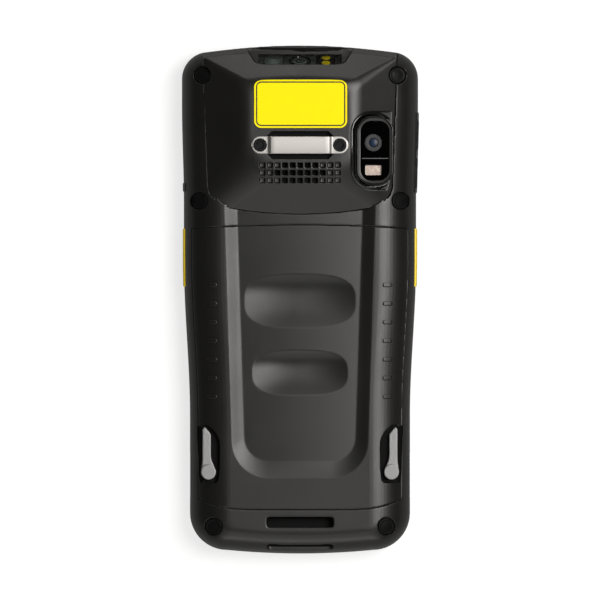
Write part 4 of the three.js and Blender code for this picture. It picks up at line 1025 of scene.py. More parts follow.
def make_finish(name):
    tone = sizes("colours")
    recipes = {
        "charcoal_plastic": lambda: moulded(name, tone.charcoal, roughness=0.36, depth=0.007, specular=0.44),
        "black_plastic": lambda: moulded(name, tone.black, roughness=0.42, grain=0.3),
        "gloss_black": lambda: moulded(name, tone.black, roughness=0.16, depth=0.003, coat=0.6),
        # Camera trim grey: partly the trim's own colour, partly painted highlight for the bezel's lit inner
        # edge all round.
        "trim_grey": lambda: moulded(name, (0.034, 0.033, 0.032), roughness=0.36, depth=0.004, specular=0.4),
        # Deep black: used for the speaker, and as painted shade on the thin sheets in the strap slot, the
        # latch pockets and the strap recess.
        "deep_black": lambda: moulded(name, tone.black, roughness=0.6, specular=0.08),
        "engine_grey": lambda: moulded(name, (0.045, 0.060, 0.052), roughness=0.4, grain=0.3),
        "black_rubber": lambda: rubbery(name, tone.rubber),
        "button_rubber": lambda: rubbery(name, tone.rubber, 0.5),
        "key_plastic": lambda: moulded(name, tone.key, roughness=0.45, grain=0.3, depth=0.015),
        "trigger_yellow": lambda: moulded(name, tone.yellow, roughness=0.42, depth=0.012, mottle=0.05),
        "led_yellow": lambda: moulded(name, (0.55, 0.44, 0.002), 0.4, 0.6, 0.01, specular=0.1),
        "satin_steel": lambda: metal(name, tone.steel, 0.5, grain=0.2, depth=0.004),
        "blasted_zinc": lambda: metal(name, tone.zinc, 0.5, grain=0.4, depth=0.06),
        "black_steel": lambda: metal(name, (0.012, 0.012, 0.013), 0.38),
        "contact_gold": lambda: metal(name, (0.9, 0.66, 0.28), 0.25, (1, 4, 1), 0.2, 0.006),
        "screen_glass": lambda: dark_glass(name, tone.glass),
        "window_glass": lambda: dark_glass(name, (0.004, 0.003, 0.003), 0.03, 0.9, mm(12.9, 75.9), 0.25),
        "camera_glass": lambda: dark_glass(name, (0.0004, 0.0004, 0.0004), 0.06, specular=0.1),
        "flash_cream": lambda: mottled(name, (0.80, 0.70, 0.60), (0.52, 0.38, 0.33)),
        "circuit_board": lambda: circuit_board(name),
        "battery_wrap": lambda: wrapped(name),
        "legend_white": lambda: moulded(name, (0.8, 0.8, 0.8), 0.5, 0.3, 0.004),
        "legend_black": lambda: moulded(name, (0.02, 0.02, 0.02), 0.5, 0.3, 0.004),
    }
    return recipes[name]()


# Pieces

def merged(name, *parts):
    """One object from separate closed solids, which are used up."""
    points, faces = [], []
    for part in parts:
        start = len(points)
        points += [tuple(vertex.co) for vertex in part.data.vertices]
        faces += [tuple(start + i for i in face.vertices) for face in part.data.polygons]
        bpy.data.objects.remove(part)
    return new_object(name, points, faces)


def skin_of(made):
    """A search tree for dropping points on a solid."""
    graph = bpy.context.evaluated_depsgraph_get()
    return BVHTree.FromObject(made, graph)


def drop(skin, x, y):
    """Height of a skin at a place, seen from above."""
    place = skin.ray_cast(Vector((x, y, HOOD_TOP * 2)), Vector((0, 0, -1)))[0]
    if place is None:
        raise RuntimeError(f"nothing to stand on at {x}, {y}")
    return place.z


def pad(name, skin, outline, rise, edge, sink, rings=5, fill=4):
    """A closed pad that follows a skin: it stands out by a rise and rounds off at its edge."""
    outline = np.asarray(outline, float)
    centre = outline.mean(axis=0)
    reach = np.linalg.norm(outline - centre, axis=1).min()
    levels = []
    bottom = np.array([(x, y, drop(skin, x, y) - sink) for x, y in outline])
    levels.append(bottom)
    for turn in np.linspace(0, np.pi / 2, rings):
        inward = edge * (1 - math.cos(turn))
        ring = centre + (outline - centre) * (1 - inward / reach)
        lift = rise - edge * (1 - math.sin(turn)) if rise > edge else rise * math.sin(turn)
        levels.append(np.array([(x, y, drop(skin, x, y) + lift) for x, y in ring]))
    for share in np.linspace(1, 0, fill + 1)[1:] + 0.02:
        ring = centre + (outline - centre) * (1 - edge / reach) * share
        levels.append(np.array([(x, y, drop(skin, x, y) + rise) for x, y in ring]))
    return loft(name, levels)


def engine_place(made, facing=False, x=0.0, z=0.0):
    """Moves a solid from the scan engine's own frame into the body's."""
    hood = sizes("hood")
    points = np.array([tuple(vertex.co) for vertex in made.data.vertices])
    if facing:
        points = np.column_stack([x - points[:, 0], points[:, 2], z + points[:, 1]])
    cosine, sine = math.cos(hood.engine_tilt), math.sin(hood.engine_tilt)
    placed = np.column_stack([
        points[:, 0],
        points[:, 1] * cosine - points[:, 2] * sine + HEAD_END - hood.engine_reach,
        points[:, 1] * sine + points[:, 2] * cosine + HOOD_TOP - hood.engine_drop,
    ])
    made.data.vertices.foreach_set("co", placed.ravel())
    made.data.update()
    return made


def engine_room(name, gap=0.3 * MM):
    half = half_size("scan_engine").x
    return engine_place(box(name, -half - gap, half + gap, *ENGINE_ROOM))


def camera_recess(name, floor):
    hood = sizes("hood")
    centre = middle("camera_bezel")
    inner = centre.x - hood.camera_half_width
    return prism(name, rounded(
        inner, HEAD_HALF * 2, centre.y - hood.camera_half_length, centre.y + hood.camera_half_length,
        hood.camera_corner, 16,
    ), floor, HOOD_TOP * 2)


def plug_places():
    return {name: middle(name) for name in frame["nodes"] if name.startswith("screw_plug")}


def around(node, gap, depth=0.0):
    """A box round a CAD node with a gap, for the opening that it works in."""
    low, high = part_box(node)
    x0, x1 = (low.x - gap, high.x + gap + depth) if low.x > 0 else (low.x - gap - depth, high.x + gap)
    return x0, x1, low.y - gap, high.y + gap, low.z - gap, high.z + gap


def cradle_recesses(name):
    return [
        side_box(f"{name}_{side}", sign, CRADLE_INNER, HEAD_HALF * 2, *CRADLE_RECESS)
        for side, sign in SIDES.items()
    ]


def trigger_reach(gap=0.0):
    """Where a trigger's button lies along the side and in height."""
    low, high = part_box("trigger_right")
    return low.y - gap, high.y + gap, low.z - gap, low.z + TRIGGER_HEIGHT + gap


def tail_slot():
    """The tools for the strap slot in the back and for its mouth in the tail's end."""
    outline = rounded(-SLOT_HALF, SLOT_HALF, *SLOT_ENDS, 1.15 * MM)
    slot = prism("tail_slot", outline, SLOT_HEIGHTS[0], BODY_TOP * 2)
    mouth = rounded(-SLOT_HALF, SLOT_HALF, *SLOT_HEIGHTS, 1.3 * MM)
    passage = loft("tail_passage", [
        np.column_stack([mouth[:, 0], np.full(len(mouth), y), mouth[:, 1]])
        for y in (-68.9 * MM, TAIL_END * 2)
    ])
    return slot, passage


def tail_slot_lining():
    """A thin deep-black sheet on the floor of the strap slot, as painted shade for the slot's dark inside.
    """
    made = prism("tail_slot_lining", rounded(*mm(-10.1, 10.1, -76.5, -67.5, 1)), *mm(14.9, 15.25))
    bevel(made, 0.08 * MM, 2)
    dress(made, finish("deep_black"), "housing", "gloss_black")


def rear_housing():
    body = sizes("body")
    half = body.tight_seam / 2
    far = HEAD_HALF * 2
    top = BODY_TOP * 2
    shell = back("rear_housing_shell")
    for side, ends in GUARDS.items():
        join(shell, cross(
            back(f"guard_{side}", GUARD_PROUD),
            side_box("guard_room", SIDES[side], 30 * MM, far, *ends, *GUARD_HEIGHTS),
        ))
    seat = cross(hood_solid("hood_seat", half), hood_room("hood_room", *HOOD_ROOM))
    seat.data.transform(Matrix.Translation((body.seat_shift, 0, 0)))
    cut(shell, seat)
    cut(shell, cover_prism("cover_room", -half, body.cover_seat - COVER_SEAT_GAP))
    cut(shell, channel_cutter("channel"))
    low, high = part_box("battery_seal")
    outer, inner = SEAL_CORNERS
    groove = cut(
        prism("seal_groove", rounded(low.x, high.x, low.y, high.y, outer), low.z, top),
        prism("seal_core", rounded(
            low.x + SEAL_WIDTH, high.x - SEAL_WIDTH, low.y + SEAL_WIDTH, high.y - SEAL_WIDTH, inner,
        ), 0, top * 2),
    )
    bay = prism("bay", rounded(*BAY, inner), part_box("battery_pack")[0].z, top)
    cut(shell, groove, bay)
    for side, sign in SIDES.items():
        x, y = LATCH_PIVOTS[side]
        cut(
            shell,
            side_box("tongue_pocket", sign, *TONGUE_POCKET),
            latch_pocket("latch_pocket", side), latch_groove("latch_groove", side, GROOVE_FLOOR),
            rod("latch_keeper", x, y, KEEPER_RADIUS, KEEPER_FLOOR, top),
        )
        # Painted shade: a thin deep-black sheet on the floor of each latch groove, for the dark gap beside
        # the lever.
        painted_shade_sheet = cross(latch_groove(f"latch_{side}_lining", side, GROOVE_FLOOR - 0.05 * MM),
                       box("lining_room", -far, far, TAIL_END, HEAD_END, 0, GROOVE_FLOOR + 0.15 * MM))
        dress(painted_shade_sheet, finish("deep_black"), "housing", "black_plastic")
    cut(shell, *tail_slot(), box("head_room", *HEAD_ROOM))
    cut(shell, engine_room("engine_room"), camera_recess("camera_recess", sizes("hood").camera_floor))
    for name, place in plug_places().items():
        low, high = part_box(name.replace("screw_plug", "housing_screw"))
        axis = (low.x + high.x) / 2
        cut(
            shell,
            rod("plug_bore", axis if "waist" in name else place.x, place.y, PLUG_BORE,
                high.z - PLUG_SEAT, top),
            rod("screw_bore", axis, place.y, SCREW_BORE, 0, high.z),
        )
    for node in ("volume_up", "volume_down"):
        x0, x1, *others = around(node, PRESS_GAP, far)
        cut(shell, box(f"{node}_opening", x0 - body.press_room, x1, *others))
    for sign in SIDES.values():
        cut(shell, side_box("trigger_opening", sign, TRIGGER_INNER - body.press_room, far,
                            *trigger_reach(PRESS_GAP)))
    cut(shell, *cradle_recesses("cradle"))
    # Painted shade: a thin deep-black sheet on the strap slot's floor.
    tail_slot_lining()
    mould(shell, voxel=0.22 * MM, passes=2, keep=0.22)
    return dress(shell, finish("charcoal_plastic"), "housing", "housing_plastic", "rear_housing")


def front_housing():
    body = sizes("body")
    rings = []
    for turn in np.linspace(0, np.pi / 2, 12):
        inset = body.rim_inset * (1 - math.sin(turn))
        rings.append(body_plan(inset).ring(body.rim_height * (1 - math.cos(turn))))
    rings.append(body_plan().ring(PARTING - body.groove))
    rings.append(body_plan(body.groove).ring(PARTING))
    shell = loft("front_housing_shell", rings)
    inside = body_plan(body.wall)
    cut(shell, loft("inside", [inside.ring(FACE_THICKNESS), inside.ring(PARTING * 2)]))
    low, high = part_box("display_glass")
    gap = PRESS_GAP
    cut(
        shell,
        prism("glass_seat", rounded(low.x - gap, high.x + gap, low.y - gap, high.y + gap, 2 * MM),
              -OVERRUN, high.z),
        box("display_opening", *DISPLAY_OPENING),
        prism("key_field", rounded(*KEY_FIELD, 7 * MM), -OVERRUN, MM),
        box("dock_slot", -DOCK_SLOT_HALF, DOCK_SLOT_HALF, TAIL_END * 2, *DOCK_SLOT_REST),
        *cradle_recesses("front_cradle"),
    )
    for key in (name for name in frame["nodes"] if name.startswith("key_")):
        low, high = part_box(key)
        cut(shell, prism("key_opening", rounded(
            low.x - body.seam, high.x + body.seam, low.y - body.seam, high.y + body.seam, 1.6 * MM,
        ), -OVERRUN, 3 * MM))
    mould(shell, voxel=0.35 * MM, passes=2, keep=0.35)
    return dress(shell, finish("charcoal_plastic"), "housing", "housing_plastic", "front_housing")


def plate_centre():
    """The middle of the bare plate on the hood's flat top."""
    return (0.2 * MM, 60.45 * MM, HOOD_TOP)


PLATE_HALF = (14.55 * MM, 7.65 * MM)
PLATE_CORNER = 2.4 * MM


def scan_hood():
    hood = sizes("hood")
    top = HOOD_TOP * 2
    shell = cross(
        hood_solid("scan_hood_shell"),
        hood_room("hood_room", hood.seat, HEAD_END - hood.skirt, HOOD_SKIRT_FLOOR),
    )
    plate_on(skin_of(shell))
    cut(shell, prism("window_notch", notch_outline(), hood.notch_sill, top), engine_room("engine_room"))
    cut(shell, box("skirt_room", *SKIRT_ROOM))
    cut(shell, camera_recess("camera_recess", hood.camera_floor))
    lens, flash = middle("camera_lens"), middle("flash_lens")
    cut(
        shell, rod("lens_bore", lens.x, lens.y, LENS_BORE, 0, HOOD_TOP),
        prism("flash_bore", oval(flash, *FLASH_BORE, 8), 0, HOOD_TOP),
    )
    cut_corner = hood.recess_corner
    x, y = hood.recess_width, hood.recess_length
    outline = [
        (x, y - cut_corner), (x - cut_corner, y), (-x + cut_corner, y), (-x, y - cut_corner),
        (-x, -y + cut_corner), (-x + cut_corner, -y), (x - cut_corner, -y), (x, -y + cut_corner),
    ]
    outline = [(px, BAR.y + py) for px, py in outline]
    floor = HOOD_TOP - hood.recess_depth
    cut(shell, prism("strap_recess", outline, floor, top))
    # Painted shade: a thin deep-black sheet on the floor of the recess under the strap bar.
    painted_shade_sheet = prism(
        "strap_recess_lining", [(px * 0.985, py) for px, py in outline], floor - 0.1 * MM, floor + 0.08 * MM,
    )
    dress(painted_shade_sheet, finish("deep_black"), "housing", "black_plastic")
    for name, place in plug_places().items():
        if "head" in name:
            screw = middle(name.replace("screw_plug", "housing_screw"))
            cut(shell, rod("plug_notch", screw.x, place.y, PLUG_BORE, 0, top))
    low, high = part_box("speaker")
    gap = 0.3 * MM
    cut(shell, box("speaker_room", low.x - gap, high.x + gap, low.y - gap, high.y + gap, 0, high.z + gap))
    holes = []
    for row, (opened, blind) in enumerate(((5, 1.3), (7, 1.3), (5, 2.0))):
        for column in range(-5, 6):
            px = column * hood.grille_pitch
            py = BAR.y - hood.grille_behind - row * hood.grille_pitch
            depth = HOOD_TOP - high.z + gap / 2 if abs(column) <= opened // 2 else blind * MM
            w = hood.grille_hole / 2
            holes.append(box("hole", px - w, px + w, py - w, py + w, HOOD_TOP - depth, top))
    cut(shell, merged("grille", *holes))
    for side in SIDES:
        x = middle(f"strap_screw_{side}").x
        cut(shell, rod("strap_screw_bore", x, BAR.y, STRAP_SCREW_BORE, 15 * MM, HOOD_TOP * 1.5))
    mould(shell, voxel=0.17 * MM, passes=2, keep=0.28)
    return dress(shell, finish("charcoal_plastic"), "housing", "housing_plastic", "scan_hood")


def plate_on(skin):
    """The bare yellow plate that follows the hood's top."""
    x, y = plate_centre()[:2]
    half_x, half_y = PLATE_HALF
    outline = rounded(x - half_x, x + half_x, y - half_y, y + half_y, PLATE_CORNER, 10)
    dense = []
    for start, end in zip(outline, np.roll(outline, -1, axis=0)):
        steps = max(1, int(np.linalg.norm(end - start) / PLATE_STEP))
        dense += [start + (end - start) * i / steps for i in range(steps)]
    dense = np.array(dense)
    head = dense[:, 1] > y
    dense[head, 1] -= PLATE_BOW * (np.abs(dense[head, 0] - x) / half_x) ** 2
    made = smooth(pad("hood_plate", skin, dense, PLATE_RISE, PLATE_EDGE, PLATE_EDGE, 3, 40))
    material = plate_finish("plate_print", sizes("colours").plate, sizes("colours").plate_line,
                            PLATE_HALF, PLATE_CORNER, PLATE_LINE)
    return dress(made, material, "housing", "trigger_yellow")


def battery_cover():
    body, channel = sizes("body"), sizes("channel")
    shell = back("battery_cover_shell")
    skin = skin_of(shell)
    cross(shell, cover_prism("cover_room", body.tight_seam / 2, body.cover_seat))
    cut(
        shell, channel_cutter("channel"),
        *(dimple(name, *place) for name, place in DIMPLES.items()),
    )
    for side, sign in SIDES.items():
        x, y = LATCH_PIVOTS[side]
        cut(shell, latch_pocket("latch_pocket", side), latch_groove("latch_groove", side, GROOVE_FLOOR),
            rod("pin_bore", x, y, LATCH_BORE, 0, BODY_TOP))
        join(shell, side_box("tongue", sign, *TONGUE))
    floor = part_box("battery_cover")[0].z
    join(shell, prism("cover_plug", rounded(*COVER_PLUG, 1.5 * MM), floor, body.cover_seat + 0.3 * MM))
    mould(shell, voxel=0.2 * MM, passes=3, keep=0.28)
    dress(shell, finish("charcoal_plastic"), "battery_cover", "housing_plastic", "battery_cover")
    for side, sign in SIDES.items():
        ticks = []
        for row in range(channel.tick_count):
            x, y = sign * TICK_PLACE, (TICK_START - TICK_PITCH * row) * MM
            outline = rounded(x - channel.tick_length / 2, x + channel.tick_length / 2,
                              y - channel.tick_width / 2, y + channel.tick_width / 2,
                              channel.tick_width / 2 - 0.01 * MM, 8)
            ticks.append(pad("tick", skin, outline, channel.tick_proud, 0.25 * MM, 0.3 * MM))
        made = smooth(merged(f"grip_ticks_{side}", *ticks))
        dress(made, finish("charcoal_plastic"), "battery_cover", "housing_plastic")


def latch_pocket_shade(side):
    """A thin deep-black sheet on the floor of a latch's pocket, as painted shade for the pocket's dark
    inside.
    """
    x, y = LATCH_PIVOTS[side]
    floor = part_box(f"latch_{side}")[0].z + WELL_LIFT
    made = join(latch_pocket(f"latch_{side}_pocket_shade", side),
                latch_groove("latch_groove", side, sizes("body").cover_seat + 0.05 * MM))
    cross(made, back("well_room", 0, 0.15 * MM))
    cut(made, box("well_top", -HEAD_HALF, HEAD_HALF, TAIL_END, HEAD_END, floor + 0.12 * MM, HOOD_TOP * 2),
        rod("pin_bore", x, y, LATCH_BORE, 0, HOOD_TOP))
    return dress(made, finish("deep_black"), "battery_cover", "black_plastic")


def latch(side):
    """A blasted metal lever: a round knob over its pivot, and an arm that runs along the cover."""
    x, y = LATCH_PIVOTS[side]
    sign = SIDES[side]
    low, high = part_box(f"latch_{side}")
    arm_top = high.z - 0.2 * MM
    points = [
        (-2.2, 0), (2.3, 0), (2.25, 1.2), (2.0, 2.6), (1.9, 4.0), (1.9, 13.17), (1.6, 13.7), (1.2, 13.9),
        (0.8, 13.65), (-0.6, 11.9), (-0.75, 11.5), (-0.75, 5.6), (-0.85, 4.3), (-1.15, 3.2), (-1.6, 2.3),
        (-2.05, 1.3),
    ]
    points = [(x + sign * across * MM, y + along * MM) for across, along in points]
    if sign < 0:
        points.reverse()
    made = join(
        prism(f"latch_{side}_lever", points, LEVER_FLOOR, arm_top),
        rod("knob", x, y, LATCH_KNOB, LEVER_FLOOR, high.z),
        rod("pin", x, y, LATCH_PIN, low.z + 0.6 * MM, 17.6 * MM),
        box("foot", x - LATCH_PIN, x + LATCH_PIN, y - 2.1 * MM, y + 2.1 * MM, low.z, 15.5 * MM),
    )
    mould(made, voxel=0.12 * MM, passes=12)
    return dress(made, finish("blasted_zinc"), f"latch_{side}", "satin_steel", f"latch_{side}")


def strap_bar():
    """A flat steel bar with a ring at each end and a joggle up to its middle."""
    low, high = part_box("strap_bar")
    reach, half = high.x, (high.y - low.y) / 2
    inner, outer = BAR_JOGGLE
    thick = high.z - low.z - BAR_STEP
    stations = np.concatenate([
        reach - half + half * np.sin(np.linspace(np.pi / 2, 0, 14, endpoint=False)),
        np.linspace(reach - half, outer, 5), np.linspace(outer, inner, 9)[1:], np.linspace(inner, 0, 9)[1:],
    ])
    stations = np.concatenate([stations, -stations[-2::-1]])
    rings = []
    for x in stations:
        out = max(abs(x) - (reach - half), 0)
        wide = math.sqrt(max(half * half - out * out, BAR_TIP ** 2))
        lift = low.z + BAR_STEP * (1 - float(smoothstep(abs(x), inner, outer)))
        corner = min(BAR_EDGE, wide * 0.9)
        profile = rounded(-wide, wide, lift, lift + thick, corner, 5)
        rings.append(np.array([(x, BAR.y + side, z) for side, z in profile]))
    made = loft("strap_bar_blade", rings[::-1])
    for side in SIDES:
        x = middle(f"strap_screw_{side}").x
        cut(made, rod("screw_hole", x, BAR.y, STRAP_SCREW_HOLE, 0, HOOD_TOP * 2))
    polish(made, 0.12 * MM)
    dress(made, finish("satin_steel"), "housing", "satin_steel", "strap_bar")
    for side in SIDES:
        node = f"strap_screw_{side}"
        low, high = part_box(node)
        x = middle(node).x
        head = rod(f"{node}_head", x, BAR.y, STRAP_SCREW_HEAD, high.z - 0.75 * MM, high.z - 0.1 * MM, 56)
        cut(head, rod("socket", x, BAR.y, SCREW_SOCKET, high.z - 0.55 * MM, high.z + MM, 6))
        join(head, rod("shank", x, BAR.y, SCREW_SHANK, low.z, high.z - 0.7 * MM, 24))
        polish(head, 0.14 * MM)
        dress(head, finish("black_steel"), "housing", "black_steel", node)


def oval(centre, half_x, half_y, corner, steps=18):
    return rounded(centre.x - half_x, centre.x + half_x, centre.y - half_y, centre.y + half_y, corner, steps)


def camera_surround(centre, half):
    """The glossy funnel between the hood's recess and the camera's bezel."""
    hood = sizes("hood")
    low = centre.x - hood.camera_half_width + 0.08 * MM
    high = centre.x + half.x + 0.85 * MM
    tail = centre.y - hood.camera_half_length + 0.08 * MM
    head = centre.y + hood.camera_half_length - 0.08 * MM
    corner = hood.camera_corner - 0.1 * MM
    steps = 18
    made = prism("camera_surround", rounded(low, high, tail, head, corner, steps), hood.camera_floor,
                 HOOD_TOP * 2)
    cross(made, hood_solid("hood_outside", 0, 0.12 * MM))
    rim = 0.5 * MM
    mouth = rounded(low + rim, high - 0.3 * MM, tail + rim, head - rim, corner - rim, steps)
    throat = oval(centre, half.x + 0.05 * MM, half.y + 0.05 * MM, 4.95 * MM, steps)
    cut(made, loft("funnel", [
        level(throat, hood.camera_floor - MM), level(throat, hood.camera_floor + 0.9 * MM),
        level(throat + (mouth - throat) * 0.55, hood.camera_floor + 1.8 * MM),
        level(mouth, HOOD_TOP - 1.0 * MM), level(mouth, HOOD_TOP * 2),
    ]))
    mould(made, voxel=0.13 * MM, passes=2, keep=0.5)
    return dress(made, finish("gloss_black"), "housing", "gloss_black")


def camera():
    """The camera's glossy surround, dark window, lens and flash."""
    bezel = middle("camera_bezel")
    lens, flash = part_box("camera_lens"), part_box("flash_lens")
    low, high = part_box("camera_bezel")
    half = half_size("camera_bezel")
    ring = prism("camera_bezel_ring", oval(bezel, half.x, half.y, BEZEL_CORNER), low.z, high.z)
    cut(ring, prism("bezel_bore", oval(bezel, *CAMERA_BORE), 0, HOOD_TOP))
    polish(ring, 0.12 * MM)
    dress(ring, finish("gloss_black"), "housing", "gloss_black", "camera_bezel")
    # A thin trim ring inside the bezel; its pale grey is partly painted highlight, standing in for the lit
    # inner edge all round.
    trim = prism("camera_trim", oval(bezel, *TRIM_OUTSIDE, 24), low.z, high.z)
    inner, outer = oval(bezel, *TRIM_THROAT, 24), oval(bezel, *TRIM_MOUTH, 24)
    cut(trim, loft("trim_funnel", [
        level(inner, 0), level(inner, high.z - 0.3 * MM),
        level(inner + (outer - inner) * 0.5, high.z - 0.22 * MM),
        level(outer, high.z - 0.1 * MM), level(outer, HOOD_TOP),
    ]))
    polish(trim, 0.04 * MM, 2)
    dress(trim, finish("trim_grey"), "housing", "gloss_black")
    camera_surround(bezel, half)
    floor, top = (corner.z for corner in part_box("camera_window"))
    pane = prism("camera_window_pane", oval(bezel, *CAMERA_PANE, 24), floor, top)
    lens_centre, flash_centre = middle("camera_lens"), middle("flash_lens")
    cut(
        pane, rod("lens_port", lens_centre.x, lens_centre.y, LENS_PORT, 0, HOOD_TOP, 64),
        prism("flash_port", oval(flash_centre, *FLASH_PORT, 8), 0, HOOD_TOP),
    )
    polish(pane, 0.1 * MM)
    dress(pane, finish("camera_glass"), "housing", "screen_glass", "camera_window")
    profile = [(2.78, 0.0), (2.78, 1.9), (2.77, 1.96), (2.73, 2.0), (2.66, 2.02), (2.5, 2.03), (1.65, 2.03),
               (1.52, 2.02), (1.45, 1.98), (1.42, 1.85), (1.38, 1.72), (1.3, 1.72), (1.0, 1.80), (0.5, 1.88),
               (0.03, 1.9)]
    glass = smooth(loft("camera_lens_glass", turned_rings(profile, lens_centre.x, lens_centre.y, lens[0].z)))
    stops = [(0, (0.002, 0.012, 0.035)), (0.55, (0.003, 0.022, 0.075)), (0.95, (0.003, 0.006, 0.02)),
             (1.35, (0.003, 0.003, 0.004)), (1.52, (0.034, 0.034, 0.036)), (2.62, (0.012, 0.012, 0.012))]
    material = ringed("camera_lens_rings", (lens_centre.x, lens_centre.y, 0), False, stops, 0.35, 0.0, 0.3)
    dress(glass, material, "housing", "lens_glass", "camera_lens")
    cover = prism("flash_cover", oval(flash_centre, *FLASH_COVER, 8), flash[0].z, flash[1].z)
    polish(cover, 0.2 * MM)
    dress(cover, finish("flash_cream"), "housing", "flash_cream", "flash_lens")
    tail, head = (bezel.y - end for end in DIVIDER_ENDS)
    divider = box("camera_divider", bezel.x - DIVIDER_HALF, bezel.x + DIVIDER_HALF, tail, head,
                  top - 0.1 * MM, top + 0.06 * MM)
    bevel(divider, 0.03 * MM, 2)
    dress(divider, finish("key_plastic"), "housing", "key_grey")


def scanner():
    """The scan window and what shows behind it."""
    hood = sizes("hood")
    gap = 0.15 * MM
    pane = engine_place(box("scan_window_pane", *WINDOW_PANE))
    cross(pane, prism("window_room", notch_outline(gap), hood.notch_sill, HOOD_TOP))
    cross(pane, hood_solid("hood_inside", -0.3 * MM))
    polish(pane, 0.08 * MM, 2)
    dress(pane, finish("window_glass"), "housing", "scan_glass", "scan_window")
    finish_node("scan_engine", finish("engine_grey"), 0.15 * MM)
    profile = [(3.3, -2.6), (3.3, 0.1), (3.15, 0.25), (2.75, 0.25), (2.6, 0.05), (2.45, -0.4), (2.2, -0.35),
               (1.6, -0.05), (0.9, 0.15), (0.04, 0.22)]
    lens = smooth(engine_place(loft("scan_lens_glass", turned_rings(profile)), True))
    centre = Vector((0, HEAD_END - hood.engine_reach, HOOD_TOP - hood.engine_drop))
    stops = [(0, (0.03, 0.045, 0.037)), (0.6, (0.07, 0.09, 0.085)), (1.1, (0.02, 0.028, 0.025)),
             (1.6, (0.15, 0.185, 0.17)), (2.5, (0.004, 0.004, 0.004))]
    dress(lens, ringed("scan_lens_rings", centre, True, stops), "housing", "lens_glass", "scan_lens")
    stops = [(0, (0.30, 0.37, 0.34)), (1.3, (0.20, 0.25, 0.23)), (2.1, (0.11, 0.14, 0.125)),
             (3.2, (0.055, 0.068, 0.06))]
    aiming = Vector(middle("aiming_lens"))
    finish_node("aiming_lens", ringed("aiming_lens_rings", aiming, True, stops, 0.2), 0.2 * MM)
    low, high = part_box("scan_leds")
    x = (low.x + high.x) / 2
    board = engine_place(box("scan_led_board", x - LED_BOARD_HALF, x + LED_BOARD_HALF, *LED_BOARD))
    bevel(board, 0.1 * MM, 2)
    dress(board, finish("black_plastic"), "housing", "black_plastic", "scan_leds")
    profile = [(1.35, 0.1), (1.35, 0.25), (1.28, 0.35), (1.1, 0.44), (0.7, 0.5), (0.35, 0.53), (0.03, 0.54)]
    for name, z in (("upper", LED_SPREAD), ("lower", -LED_SPREAD)):
        led = smooth(engine_place(loft(f"scan_led_{name}", turned_rings(profile, steps=40)), True, x, z))
        dress(led, finish("led_yellow"), "housing", "led_yellow")


def fasteners():
    """Rubber plugs that follow the skin, and the housing screws under them."""
    whole = back("plug_skin")
    skin = skin_of(whole)
    bpy.data.objects.remove(whole)
    for name, place in plug_places().items():
        screw = middle(name.replace("screw_plug", "housing_screw"))
        outline = circle(screw.x, place.y, PLUG_RADIUS, 56)
        levels = [level(outline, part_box(name)[0].z)]
        steps = [(1 - inward * MM / PLUG_RADIUS, fall) for inward, fall in PLUG_EDGE]
        steps += [(share, PLUG_DISH) for share in PLUG_DISH_SHARES]
        for share, fall in steps:
            ring = (outline - (screw.x, place.y)) * share + (screw.x, place.y)
            levels.append(np.array([(x, y, drop(skin, x, y) - fall * MM) for x, y in ring]))
        plug = smooth(loft(f"{name}_cap", levels))
        dress(plug, finish("black_rubber"), "housing", "black_rubber", name)
    for name in frame["nodes"]:
        if name.startswith("housing_screw"):
            finish_node(name, finish("black_steel"), 0.1 * MM)


def side_controls():
    """The yellow triggers and the volume buttons."""
    for side, sign in SIDES.items():
        node = f"trigger_{side}"
        low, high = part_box(node)
        made = cross(
            back(f"{node}_button", TRIGGER_PROUD),
            side_box("trigger_room", sign, min(abs(low.x), abs(high.x)), HEAD_HALF * 2, *trigger_reach()),
        )
        mould(made, voxel=0.2 * MM, passes=6, keep=0.8)
        dress(made, finish("trigger_yellow"), node, "trigger_yellow", node)
    for node in ("volume_up", "volume_down"):
        low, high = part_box(node)
        made = cross(
            back(f"{node}_button", VOLUME_PROUD),
            box("volume_room", low.x, HEAD_HALF * 2, low.y, high.y, low.z, high.z),
        )
        mould(made, voxel=0.18 * MM, passes=5, keep=0.8)
        dress(made, finish("button_rubber"), node, "black_rubber", node)


def front_face():
    """The display and the keypad."""
    finish_node("display_glass", finish("screen_glass"), 0.3 * MM)
    legends = {"star": "*", "hash": "#", "menu": "=", "back": "<", "scan": "+", "clear": "x", "power": "o"}
    for node in sorted(name for name in frame["nodes"] if name.startswith("key_")):
        low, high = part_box(node)
        centre = middle(node)
        half = half_size(node)
        text = node.removeprefix("key_")
        rings = []
        levels = [(0, high.z)] + [(inset * MM, low.z + rise * MM) for inset, rise in KEY_CAP]
        for inward, z in levels:
            corner = max(KEY_CORNER - inward / 2, KEY_LEAST_CORNER)
            rings.append(level(rounded(
                centre.x - half.x + inward, centre.x + half.x - inward,
                centre.y - half.y + inward, centre.y + half.y - inward, corner, 8,
            ), z))
        cap = smooth(loft(f"{node}_cap", rings[::-1]))
        yellow = text == "scan"
        dress(cap, finish("trigger_yellow" if yellow else "key_plastic"), node, "key_grey", node)
        curve = bpy.data.curves.new(f"{node}_text", "FONT")
        curve.body = legends.get(text, text)
        curve.size = LEGEND_SIZE
        curve.align_x, curve.align_y = "CENTER", "CENTER"
        curve.extrude = LEGEND_DEPTH
        letter = bpy.data.objects.new(f"{node}_letter", curve)
        bpy.context.scene.collection.objects.link(letter)
        graph = bpy.context.evaluated_depsgraph_get()
        mesh = bpy.data.meshes.new_from_object(letter.evaluated_get(graph))
        bpy.data.objects.remove(letter)
        legend = bpy.data.objects.new(f"{node}_legend", mesh)
        bpy.context.scene.collection.objects.link(legend)
        for vertex in mesh.vertices:
            x, y, z = vertex.co
            vertex.co = (centre.x - x, centre.y + y, low.z - z + LEGEND_LIFT)
        dress(legend, finish("legend_black" if yellow else "legend_white"), node, "key_grey")


